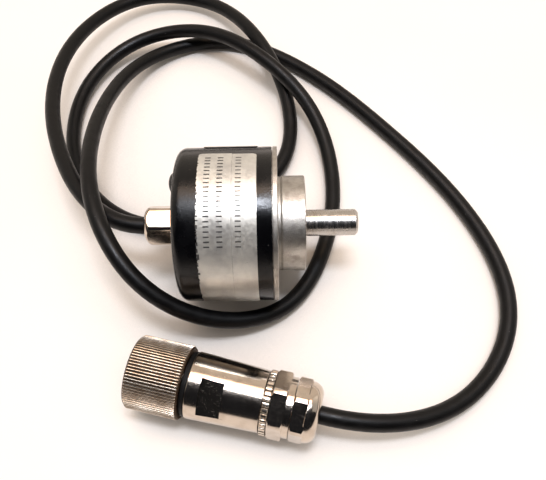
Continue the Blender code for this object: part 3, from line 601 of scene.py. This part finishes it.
def smooth_route(points, sample_count):
    """Samples of a smooth curve through the points; its first and last runs are straight."""
    route = np.array(points)
    knots = route[1:-1]
    chord = np.linalg.norm(np.diff(knots, axis=0), axis=1)
    slope = np.diff(knots, axis=0) / chord[:, None]
    count = len(knots)
    system = np.zeros((count, count))
    right = np.zeros((count, 3))
    system[0, :2] = 2 * chord[0], chord[0]
    right[0] = 6 * (slope[0] - unit(route[1] - route[0]))
    system[-1, -2:] = chord[-1], 2 * chord[-1]
    right[-1] = 6 * (unit(route[-1] - route[-2]) - slope[-1])
    for row in range(1, count - 1):
        before, after = chord[row - 1], chord[row]
        system[row, row - 1:row + 2] = before, 2 * (before + after), after
        right[row] = 6 * (slope[row] - slope[row - 1])
    bend = np.linalg.solve(system, right)
    dense = [route[0]]
    for row, length in enumerate(chord):
        for share in np.arange(0.0, 1.0, 0.02):
            a, b = 1 - share, share
            curl = (a ** 3 - a) * bend[row] + (b ** 3 - b) * bend[row + 1]
            dense.append(a * knots[row] + b * knots[row + 1] + curl * length ** 2 / 6)
    dense = np.array(dense + [knots[-1], route[-1]])
    dense[:, 2] = np.maximum(dense[:, 2], REST_HEIGHT)
    run = np.concatenate([[0.0], np.cumsum(np.linalg.norm(np.diff(dense, axis=0), axis=1))])
    stations = np.linspace(0.0, run[-1], sample_count)
    return np.column_stack([np.interp(stations, run, dense[:, axis]) for axis in range(3)])


def make_cable(sheath):
    """The round cable along its route, as a curve with a round section."""
    curve = bpy.data.curves.new("cable_sheath", "CURVE")
    curve.dimensions = "3D"
    curve.bevel_depth = CABLE_RADIUS
    curve.bevel_resolution = 6
    curve.use_fill_caps = True
    samples = smooth_route(CABLE_ROUTE, 420)
    spline = curve.splines.new("POLY")
    spline.points.add(len(samples) - 1)
    for point, place_at in zip(spline.points, samples):
        point.co = (*place_at, 1.0)
    spline.use_smooth = True
    curve.materials.append(sheath)
    cable = bpy.data.objects.new("cable_sheath", curve)
    cable.location.x = ORIGIN_SHIFT
    bpy.context.scene.collection.objects.link(cable)
    return belongs(cable, "housing", "cable_black", "cable")


# ---------------------------------------------------------------- encoder body
def make_hub(aluminium):
    """Flange disc, centring hub and bearing bore in one machined piece."""
    bore, spigot, seal_bore = 0.0133, 0.0272, 0.009
    outline = softened([
        (HUB_END_X, seal_bore, 0.0002), (HUB_END_X, HUB_RADIUS, 0.0004),
        (FLANGE_FACE_X + 0.0016, HUB_RADIUS, 0.0003),
        (FLANGE_FACE_X + 0.0010, HUB_RADIUS - 0.0003, 0.0002),
        (FLANGE_FACE_X, HUB_RADIUS - 0.0003, 0.0002),
        (FLANGE_FACE_X, BODY_RADIUS, 0.00025), (FLANGE_REAR_X, BODY_RADIUS, 0.0002),
        (FLANGE_REAR_X, spigot, 0), (0.0030, spigot, 0), (0.0030, 0.0259, 0),
        (0.0014, 0.0259, 0), (0.0014, spigot, 0), (0.0, spigot, 0.0002),
        (0.0, 0.0165, 0), (-0.009, 0.0165, 0.0003), (-0.009, bore, 0.0003),
        (-0.0078, bore, 0), (-0.0078, 0.0142, 0), (-0.0067, 0.0142, 0), (-0.0067, bore, 0),
        (0.0150, bore, 0), (0.0150, 0.0066, 0), (HUB_END_X - 0.0029, 0.0066, 0),
        (HUB_END_X - 0.0029, seal_bore, 0)], closed=True)
    hub = revolve("flange_and_hub", outline, [aluminium], 192, closed=True)
    for index in range(6):
        radius = HOLE_RADII[index % 2]
        angle = math.radians(30 + 60 * index)
        mouth, floor = FLANGE_FACE_X, FLANGE_FACE_X - HOLE_DEPTH
        cutter = revolve("cutter", [(mouth + 0.001, 0.0), (mouth + 0.001, radius + 0.0012),
                                    (mouth - 0.0002, radius), (floor, radius),
                                    (floor - 0.0009, 0.0)], [], 40)
        cutter.location = (0, HOLE_CIRCLE_RADIUS * math.cos(angle),
                           HOLE_CIRCLE_RADIUS * math.sin(angle))
        combine(hub, cutter, "DIFFERENCE")
    belongs(on_shaft(hub), "housing", "cast_aluminium", "flange_hub")
    for index, degrees in enumerate((90, 210, 330)):
        angle = math.radians(degrees)
        outline = softened([(-0.0179, 0.001, 0), (-0.0179, 0.0022, 0.0002), (-0.0002, 0.0022, 0),
                            (-0.0002, 0.001, 0)], closed=True)
        post = revolve(f"board_post_{index + 1}", outline, [aluminium], 40, closed=True)
        on_shaft(post, 0.0226 * math.cos(angle), 0.0226 * math.sin(angle))
        belongs(post, "housing", "cast_aluminium")


def make_cap(coating):
    inner, lip, edge = BODY_RADIUS - 0.0024, 0.0275, 0.0035
    wall = REAR_FACE_X + 0.0025
    outline = [(CAP_FRONT_X, lip, 0.0001), (CAP_FRONT_X, BODY_RADIUS, 0.0002)]
    for step in range(13):
        angle = math.radians(90 * step / 12)
        outline.append((REAR_FACE_X + edge * (1 - math.sin(angle)),
                        BODY_RADIUS - edge * (1 - math.cos(angle)), 0))
    outline += [(REAR_FACE_X, 0.0063, 0.0001), (wall, 0.0063, 0), (wall, inner - 0.0015, 0),
                (wall + 0.0015, inner, 0), (-0.0003, inner, 0), (-0.0003, lip, 0)]
    cap = revolve("cap_shell", softened(outline, closed=True), [coating], 192, closed=True)
    cutter = revolve("cutter", [(REAR_FACE_X - 0.001, 0.0), (REAR_FACE_X - 0.001, 0.0028),
                                (wall + 0.001, 0.0028), (wall + 0.001, 0.0)], [], 48)
    cutter.location = (0, PLUG_Y, PLUG_Z - AXIS_HEIGHT)
    combine(cap, cutter, "DIFFERENCE")
    belongs(on_shaft(cap), "housing", "black_housing", "housing_cap")


def make_rear_plug(moulding):
    """Domed blanking plug with a screwdriver slot."""
    face, stem_end = REAR_FACE_X - 0.0001, REAR_FACE_X + 0.0031
    stem, head, rim, dome = 0.0025, 0.0040, 0.0009, 0.0020
    outline = [(stem_end, 0.0), (stem_end, stem), (face, stem), (face, head), (face - rim, head)]
    for step in range(1, 10):
        angle = math.radians(10 * step)
        outline.append((face - rim - dome * math.sin(angle), head * math.cos(angle)))
    outline[-1] = (face - 0.0029, 0.0)
    plug = revolve("plug_cover", outline, [moulding], 64)
    slot = hex_prism("cutter", face - 0.0034, face - 0.0023, 0.0016, 0, [])
    slot.scale = (1.0, 0.5, 2.2)
    apply_scale(slot)
    combine(plug, slot, "DIFFERENCE")
    on_shaft(plug, PLUG_Y, PLUG_Z - AXIS_HEIGHT)
    belongs(plug, "housing", "black_plastic", "rear_plug")


def apply_scale(thing):
    thing.data.transform(Matrix.Diagonal((*thing.scale, 1.0)))
    thing.scale = (1.0, 1.0, 1.0)


LABEL_LIFT = 0.0002             # from the cap to the underside of a label
LABEL_THICKNESS = 0.00018
LEFT_LABEL_THICKNESS = 0.00012
PLATE_LIFT = 0.0001
INK_LIFT = 0.00001
INK_THICKNESS = 0.00002


def curved_sheet(name, rows, thickness, materials, lift=LABEL_LIFT):
    """A thin sheet on the cap, from rows of an angle and the sheet's two ends along X."""
    inner = BODY_RADIUS + lift
    outer = inner + thickness
    verts, faces = [], []
    across = 16
    for degrees, left, right in rows:
        angle = math.radians(degrees)
        for radius in (inner, outer):
            for step in range(across + 1):
                x = left + (right - left) * step / across
                verts.append((x, radius * math.cos(angle), radius * math.sin(angle)))
    stride, layer = 2 * (across + 1), across + 1
    last = len(rows) - 1
    for row in range(last):
        base, following = row * stride, (row + 1) * stride
        for step in range(across):
            faces.append((base + step, following + step, following + step + 1, base + step + 1))
            faces.append((base + layer + step, base + layer + step + 1,
                          following + layer + step + 1, following + layer + step))
        for side in (0, across):
            faces.append((base + side, base + layer + side,
                          following + layer + side, following + side))
    for row in (0, last):
        base = row * stride
        for step in range(across):
            faces.append((base + step, base + step + 1,
                          base + layer + step + 1, base + layer + step))
    return on_shaft(closed_piece(name, verts, faces, materials))


def corner_inset(corner, from_end):
    """How far a rounded corner draws the edge in, at a distance from the sheet's end."""
    if from_end >= corner:
        return 0.0
    return corner - math.sqrt(max(0.0, corner ** 2 - (corner - from_end) ** 2))


def label_rows(left, right, first, last, corners, ragged=0.0):
    """Rows for curved_sheet, in degrees from +Y towards +Z, with a torn left edge.

    `corners` holds the corner radii of the left and right side.
    """
    rng = random.Random(3)
    steps = 110
    rows = []
    for step in range(steps + 1):
        degrees = first + (last - first) * step / steps
        from_end = BODY_RADIUS * math.radians(min(degrees - first, last - degrees))
        tear = ragged * rng.random() ** 3
        rows.append((degrees, left + corner_inset(corners[0], from_end) + tear,
                     right - corner_inset(corners[1], from_end)))
    return rows


def make_labels(foil, plate):
    """Two foil labels that meet at a fine seam, and the dark plate on the far side."""
    outer_corner, seam_corner, plate_corner = 0.0012, 0.0001, 0.002
    left_edge = node_box("label_left")[0][0]
    right_low, right_high = node_box("label_right")
    seam = right_low[0] - 0.00008
    rows = label_rows(left_edge, seam - 0.00006, 62, 199, (outer_corner, seam_corner), 0.0005)
    left = curved_sheet("sticker_left", rows, LEFT_LABEL_THICKNESS, [foil])
    belongs(left, "housing", "label_silver", "label_left")
    rows = label_rows(seam, right_high[0], 63, 199, (seam_corner, outer_corner))
    right = curved_sheet("sticker_right", rows, LABEL_THICKNESS, [foil])
    belongs(right, "housing", "label_silver", "label_right")
    low, high = node_box("rating_plate")
    rows = label_rows(low[0], high[0], -50, 46, (plate_corner, plate_corner))
    back = curved_sheet("rear_plate", rows, LABEL_THICKNESS, [plate], lift=PLATE_LIFT)
    belongs(back, "housing", "plate_dark", "rating_plate")


def make_ticks(ink):
    """Even rows of identical ticks, and short dark marks of painted shade along the label's left
    edge; angles from -Y towards +Z.
    """
    rng = random.Random(11)
    foot = BODY_RADIUS + LABEL_LIFT + LABEL_THICKNESS + INK_LIFT
    layers = (foot, foot + INK_THICKNESS)
    first, last, pitch, thick, tall = 112, 40, 3.4, 0.9, 0.0020
    shade_edge, shade_first, shade_last = -0.01830, 81.0, 22
    verts, faces = [], []

    def patch(x0, x1, start, end):
        """A closed film of ink: four corners at each step round the housing."""
        steps = max(1, int(abs(start - end) / 1.5))
        base = len(verts)
        for step in range(steps + 1):
            angle = math.pi - math.radians(start + (end - start) * step / steps)
            for x, radius in ((x0, layers[0]), (x1, layers[0]),
                              (x1, layers[1]), (x0, layers[1])):
                verts.append((x, radius * math.cos(angle), radius * math.sin(angle)))
        for step in range(steps):
            here = base + 4 * step
            for side in range(4):
                following = (side + 1) % 4
                faces.append((here + side, here + following,
                              here + 4 + following, here + 4 + side))
        end_ring = base + 4 * steps
        faces.append((base, base + 3, base + 2, base + 1))
        faces.append((end_ring, end_ring + 1, end_ring + 2, end_ring + 3))

    for centre in (-0.0148, -0.0103, -0.0040):
        for step in range(int((first - last) / pitch)):
            angle = first - pitch * step
            patch(centre - tall / 2, centre + tall / 2, angle, angle - thick)
    # painted shade: short dark ink marks along the torn left edge of the left label
    angle = shade_first
    while angle > shade_last:
        long = rng.uniform(0.6, 4.0)
        patch(shade_edge, shade_edge + rng.uniform(0.0002, 0.0009), angle, angle - long)
        angle -= long + rng.uniform(0.7, 2.6)
    ticks = closed_piece("label_ticks_and_edge_shade", verts, faces, [ink])
    belongs(on_shaft(ticks), "housing", "chip_black")


def make_shaft(steel):
    groove = SHAFT_RADIUS - 0.0007
    outline = softened([
        (SHAFT_TIP_X, 0.0, 0), (SHAFT_TIP_X, SHAFT_RADIUS - 0.0009, 0.00012),
        (SHAFT_TIP_X - 0.0009, SHAFT_RADIUS, 0.00012), (-0.0053, SHAFT_RADIUS, 0),
        (-0.0053, groove, 0), (-0.0069, groove, 0), (-0.0069, SHAFT_RADIUS, 0),
        (SHAFT_REAR_X + 0.0003, SHAFT_RADIUS, 0), (SHAFT_REAR_X, SHAFT_RADIUS - 0.0003, 0),
        (SHAFT_REAR_X, 0.0, 0)])
    shaft = revolve("shaft_bar", outline, [steel], 128)
    belongs(on_shaft(shaft), "shaft", "shaft_steel", "shaft")


def make_shaft_seal(rubber):
    front, back = HUB_END_X - 0.0003, HUB_END_X - 0.0026
    outline = softened([(front, 0.0087, 0.0002), (front, 0.0066, 0.0003),
                        (HUB_END_X - 0.0013, 0.00535, 0.0001),
                        (HUB_END_X - 0.0017, 0.00535, 0.0001),
                        (back, 0.0070, 0), (back, 0.0087, 0)], closed=True)
    seal = revolve("lip_seal", outline, [rubber], 96, closed=True)
    belongs(on_shaft(seal), "housing", "rubber", "shaft_seal")


# ---------------------------------------------------------------- hexagonal nuts
def domed(start, end, radius, end_radius, dome_length, edge):
    """Outline of a solid with a bevelled start and a domed end."""
    way = 1 if end > start else -1
    dome_start = end - way * dome_length
    outline = [(start, 0.0), (start, radius - edge), (start + way * edge, radius),
               (dome_start, radius)]
    for step in range(1, 12):
        angle = math.radians(90 * step / 12)
        outline.append((dome_start + way * dome_length * math.sin(angle),
                        end_radius + (radius - end_radius) * math.cos(angle)))
    return outline + [(end, end_radius), (end, 0.0)]


def bar_tool(start, end, radius):
    """A round bar that drills a bore."""
    return revolve("cutter", [(start, 0.0), (start, radius), (end, radius), (end, 0.0)], [], 96)


def chamfered_hex(name, start, end, flats, turn, nickel):
    """A hexagonal bar whose corners are turned down and chamfered at both ends."""
    bar = hex_prism(name, start, end, flats, turn, [nickel], HEX_EDGE)
    corner, edge = flats / math.sqrt(3) - CORNER_TURNED_OFF, HEX_CHAMFER
    shape = [(start, 0.0), (start, corner - edge), (start + edge, corner), (end - edge, corner),
             (end, corner - edge), (end, 0.0)]
    combine(bar, revolve("tool", shape, [], 128), "INTERSECT")
    return bar


def make_gland(nickel):
    flats = 0.014
    nut = hex_prism("gland_cap_nut", GLAND_START_X, GLAND_END_X, flats, 10, [nickel], HEX_EDGE)
    corner = flats / math.sqrt(3) + 0.00005
    shape = domed(GLAND_START_X, GLAND_END_X, corner, 0.0040, 0.0046, 0.0002)
    combine(nut, revolve("tool", shape, [], 128), "INTERSECT")
    combine(nut, bar_tool(GLAND_START_X - 0.001, -0.0367, 0.0063), "DIFFERENCE")
    combine(nut, bar_tool(-0.036, GLAND_END_X - 0.001, CABLE_HOLE_RADIUS), "DIFFERENCE")
    edge_softened(nut, 0.00018)
    belongs(on_shaft(nut), "housing", "nickel", "gland_nut")


# ---------------------------------------------------------------- connector
def make_coupling_ring(knurled):
    """Straight-knurled ring; its groove depth fades where the rims are chamfered."""
    crest, depth, start, end, rim = 0.0133, 0.00050, -0.0020, 0.0177, 0.0007

    def wave(share):
        from_crest = 0.5 - abs(share - 0.5)
        rounding = 0.15 * min(1.0, from_crest / 0.22) ** 2
        return rounding + 0.85 * max(0.0, min(1.0, (from_crest - 0.2) / 0.15))

    def rim_station(x, share):
        cone = crest - rim * (1 - share)
        return x, cone, max(0.0, cone - (crest - depth))

    shares = (0.0, 0.2, 0.4, 0.6, 0.8, 1.0)
    stations = [rim_station(start + rim * share, share) for share in shares]
    stations += [(start + (end - start) * share, crest, depth) for share in shares[1:-1]]
    stations += [rim_station(end - rim * share, share) for share in reversed(shares)]
    inside = [(end, 0.0110), (end - 0.0002, 0.0108), (0.0150, 0.0108), (0.0150, 0.0113)]
    for turn in range(14, 0, -1):
        x = 0.0009 * turn - 0.0010
        inside += [(x + 0.0003, 0.0113), (x, 0.01105)]
    inside += [(start + 0.0006, 0.0113), (start, 0.0117)]
    stations += [(x, radius, 0.0) for x, radius in inside]
    ring = ribbed("knurled_ring", stations, wave, 76, 10, [knurled])
    belongs(on_connector(ring), "coupling_ring", "nickel", "coupling_ring")
    return ring


FLAT_TURN = math.radians(35)    # of the milled flat about the connector's axis
FLAT_FLOOR = 0.00975            # from that axis
FLAT_CUT = (0.0082, 0.0140, 0.0030)
FLAT_MIDDLE_X = 0.0286


def make_sleeve(nickel, dark):
    """Tapered sleeve with a milled flat whose floor is dark and gritty."""
    inner, socket, neck = 0.0088, 0.0098, 0.0105
    outline = softened([
        (0.0040, socket, 0), (0.0040, neck, 0.0002), (0.0198, neck, 0), (0.0198, 0.0120, 0.0004),
        (0.0222, 0.01195, 0.0002), (0.0462, 0.0110, 0.00025), (0.0462, inner, 0),
        (0.0200, inner, 0), (0.0200, socket, 0)], closed=True)
    sleeve = revolve("plug_sleeve", outline, [nickel, dark], 160, closed=True)
    cutter = bpy.data.meshes.new("cutter")
    bm = bmesh.new()
    bmesh.ops.create_cube(bm, size=1.0)
    bmesh.ops.scale(bm, vec=FLAT_CUT, verts=bm.verts)
    bmesh.ops.translate(bm, vec=(FLAT_MIDDLE_X, 0.0, FLAT_FLOOR + FLAT_CUT[2] / 2), verts=bm.verts)
    bmesh.ops.rotate(bm, cent=(0, 0, 0), matrix=Matrix.Rotation(FLAT_TURN, 3, "X"), verts=bm.verts)
    bm.to_mesh(cutter)
    bm.free()
    combine(sleeve, finished("cutter", cutter, []), "DIFFERENCE")
    up = Vector((0.0, -math.sin(FLAT_TURN), math.cos(FLAT_TURN)))
    for face in sleeve.data.polygons:
        if face.normal.dot(up) > 0.999 and abs(face.center.dot(up) - FLAT_FLOOR) < 0.0001:
            face.material_index = 1
    belongs(on_connector(sleeve), "housing", "nickel", "connector_sleeve")
    return sleeve


def make_serrated_ring(toothed):
    """Ring of broad rounded teeth with narrow grooves between them."""
    outer, inner, depth, start, end = 0.0115, 0.0092, 0.0007, 0.0465, 0.0488

    def wave(share):
        from_crest = 1.0 - 2.0 * abs(share - 0.5)
        return 0.22 * from_crest ** 2 + 0.78 * max(0.0, (from_crest - 0.68) / 0.32)

    stations = [(start, outer - 0.0002, depth - 0.0002), (start + 0.0002, outer, depth),
                (end - 0.0002, outer, depth), (end, outer - 0.0002, depth - 0.0002),
                (end, inner, 0.0), (start, inner, 0.0)]
    ring = ribbed("toothed_ring", stations, wave, 36, 16, [toothed])
    belongs(on_connector(ring), "housing", "nickel", "serrated_ring")
    return ring


def make_adapter(nickel):
    """Large hexagon with a tail inside the sleeve and a neck inside the clamping nut."""
    start, end, flats, neck_end = 0.0491, 0.0543, 0.0216, 0.0565
    tail_start, tail, neck, bore = 0.0420, 0.0084, 0.0107, 0.0076
    body = chamfered_hex("hex_collar", start, end, flats, 24, nickel)
    core = [(tail_start, 0.0), (tail_start, tail), (start + HEX_CHAMFER, tail),
            (end - HEX_CHAMFER, neck), (neck_end, neck), (neck_end, 0.0)]
    combine(body, revolve("tool", core, [], 128), "UNION")
    combine(body, bar_tool(tail_start - 0.001, neck_end + 0.001, bore), "DIFFERENCE")
    edge_softened(body, 0.00016)
    belongs(on_connector(body), "housing", "nickel", "adapter_hex")
    return body


def make_clamp_nut(nickel):
    """Hexagon that runs out into a smooth round dome."""
    start, hex_end, end, flats = 0.0568, 0.0617, 0.0660, 0.0206
    mouth, shoulder, seal_room, seal_end = 0.0066, 0.0107, 0.0075, 0.0622
    nut = chamfered_hex("clamping_nut", start, hex_end, flats, 29, nickel)
    dome = domed(hex_end - HEX_CHAMFER, end, shoulder, mouth, end - hex_end, 0.0002)
    combine(nut, revolve("tool", dome, [], 128), "UNION")
    combine(nut, bar_tool(start - 0.001, seal_end, seal_room), "DIFFERENCE")
    combine(nut, bar_tool(seal_end - 0.0001, end + 0.001, CABLE_HOLE_RADIUS), "DIFFERENCE")
    edge_softened(nut, 0.00018)
    belongs(on_connector(nut), "housing", "nickel", "clamp_nut")
    return nut


def make_contacts(insulator, gold, rubber):
    """Insulator with pins in two rings, and the black ring behind the knurled one."""
    face = 0.0095
    outline = softened([(face, 0.0, 0), (face, 0.0088, 0.0008), (0.0110, 0.0095, 0.0005),
                        (0.0196, 0.0095, 0), (0.0196, 0.0084, 0), (0.0260, 0.0084, 0),
                        (0.0260, 0.0, 0)])
    insert = revolve("pin_carrier", outline, [insulator], 96)
    belongs(on_connector(insert), "housing", "insert_plastic", "contact_insert")
    pieces = [insert]
    for circle, count in ((0.0060, 8), (0.0025, 4)):
        for index in range(count):
            angle = 2 * math.pi * (index + 0.5) / count
            pin = revolve(f"pin_{count}_{index + 1}",
                          softened([(0.0038, 0.0, 0), (0.0038, 0.0005, 0.0003), (face, 0.0005, 0),
                                    (face, 0.0, 0)]), [gold], 24)
            on_connector(pin, circle * math.cos(angle), circle * math.sin(angle))
            belongs(pin, "housing", "brass")
            pieces.append(pin)
    outline = softened([(0.0179, 0.0106, 0), (0.0179, 0.0114, 0.0003), (0.0196, 0.0117, 0.0003),
                        (0.0196, 0.0106, 0)], closed=True)
    gasket = revolve("black_gasket", outline, [rubber], 128, closed=True)
    belongs(on_connector(gasket), "housing", "rubber", "sleeve_o_ring")
    pieces.append(gasket)
    return pieces


# ---------------------------------------------------------------- floor, light, world
def make_floor(finish):
    half = 3.0
    mesh = bpy.data.meshes.new("floor")
    mesh.from_pydata([(-half, -half, 0), (half, -half, 0), (half, half, 0), (-half, half, 0)],
                     [], [(0, 1, 2, 3)])
    floor = finished("floor", mesh, [finish])


def area_light(name, direction, distance, size, power, colour, across=0.0):
    """A rectangular lamp aimed at the encoder; `across` moves it along X."""
    data = bpy.data.lights.new(name, "AREA")
    data.shape, data.size, data.size_y = "RECTANGLE", size[0], size[1]
    data.energy, data.color = power, colour
    lamp = bpy.data.objects.new(name, data)
    away = Vector(direction).normalized()
    lamp.location = Vector((across, 0.03, 0.02)) + away * distance
    lamp.rotation_mode = "QUATERNION"
    lamp.rotation_quaternion = away.to_track_quat("Z", "Y")
    bpy.context.scene.collection.objects.link(lamp)


def make_light():
    """Soft lamps above and at the sides, a room lit from behind, and a pale backdrop."""
    area_light("key", (0.0, -0.06, 0.998), 0.90, (0.26, 0.15), 7.0, (0.86, 0.90, 1.0), 0.045)
    area_light("key_wide", (0.0, -0.05, 0.998), 0.92, (1.10, 0.22), 2.6, (0.92, 0.95, 1.0))
    area_light("warm", (0.0, 0.24, 0.97), 0.95, (0.95, 0.23), 4.2, (1.0, 0.72, 0.52))
    area_light("side_left", (-0.86, 0.1, 0.50), 1.60, (1.4, 1.4), 3.5, (1.0, 0.95, 0.88))
    area_light("side_right", (0.86, 0.1, 0.50), 1.60, (1.4, 1.4), 3.5, (1.0, 0.95, 0.88))
    world = bpy.data.worlds.new("studio")
    bpy.context.scene.world = world
    world.use_nodes = True
    tree = world.node_tree
    direction = tree.nodes.new("ShaderNodeTexCoord").outputs["Generated"]
    parts = tree.nodes.new("ShaderNodeSeparateXYZ")
    tree.links.new(direction, parts.inputs[0])
    back = tree.nodes.new("ShaderNodeMapRange")
    back.interpolation_type = "SMOOTHSTEP"
    back.inputs["From Min"].default_value, back.inputs["From Max"].default_value = 0.0, 0.75
    tree.links.new(parts.outputs["Y"], back.inputs["Value"])
    mix = tree.nodes.new("ShaderNodeMix")
    mix.data_type = "RGBA"
    tree.links.new(back.outputs["Result"], mix.inputs["Factor"])
    colours = [socket for socket in mix.inputs if socket.type == "RGBA"]
    colours[0].default_value = (0.014, 0.015, 0.018, 1.0)
    colours[1].default_value = (0.84, 0.72, 0.60, 1.0)
    background = tree.nodes["Background"]
    tree.links.new([s for s in mix.outputs if s.type == "RGBA"][0], background.inputs["Color"])
    background.inputs["Strength"].default_value = 1.0
    backdrop = tree.nodes.new("ShaderNodeBackground")
    backdrop.inputs["Color"].default_value = (0.95, 0.92, 0.88, 1.0)
    seen = tree.nodes.new("ShaderNodeLightPath")
    choose = tree.nodes.new("ShaderNodeMixShader")
    tree.links.new(seen.outputs["Is Camera Ray"], choose.inputs["Fac"])
    tree.links.new(background.outputs["Background"], choose.inputs[1])
    tree.links.new(backdrop.outputs["Background"], choose.inputs[2])
    tree.links.new(choose.outputs["Shader"], tree.nodes["World Output"].inputs["Surface"])
    bpy.context.scene.view_settings.view_transform = "Standard"


# ---------------------------------------------------------------- making
make_camera()
cable = make_cable(cable_sheath())
nickel = plated_nickel()
rubber = nitrile()
insulator = moulded("insulator_black", (0.05, 0.05, 0.05), 0.45)
contact = [make_coupling_ring(knurled_nickel("knurled_nickel", 0.0129, 0.01322)),
           make_sleeve(nickel, milled_dark()),
           make_serrated_ring(knurled_nickel("toothed_nickel", 0.0109, 0.0114)),
           make_adapter(nickel), make_clamp_nut(nickel),
           *make_contacts(insulator, contact_gold(), rubber)]

aluminium = blasted_aluminium()
steel = ground_steel()
make_hub(aluminium)
make_cap(black_coating())
make_rear_plug(black_moulding())
make_labels(foil_label(), dark_plate())
make_ticks(label_ink())
make_shaft(steel)
make_shaft_seal(rubber)
make_gland(nickel)

hidden_finishes = {
    "rubber": rubber, "bearing_steel": bearing_steel(), "spring_steel": spring_steel(),
    "cage_plastic": moulded("cage_nylon", (0.36, 0.25, 0.11), 0.45), "shaft_steel": steel,
    "brass": turned_brass(), "disc_glass": clear_glass("disc_glass", (0.85, 0.93, 0.91)),
    "lens_clear": clear_glass("lens_clear", (0.93, 0.93, 0.95)),
    "chip_black": moulded("chip_black", (0.02, 0.02, 0.022), 0.42), "board_green": board_green(),
    "insert_plastic": insulator, "nickel": nickel, "black_plastic": black_moulding(),
}
for part in frame["record"]["subparts"]:
    finish = hidden_finishes.get(part["material_slot"])
    node = frame["nodes"][part["node"]]
    if finish is not None and not node.hide_render:
        node.data.materials.clear()
        node.data.materials.append(finish)

make_floor(pale_floor())
make_light()
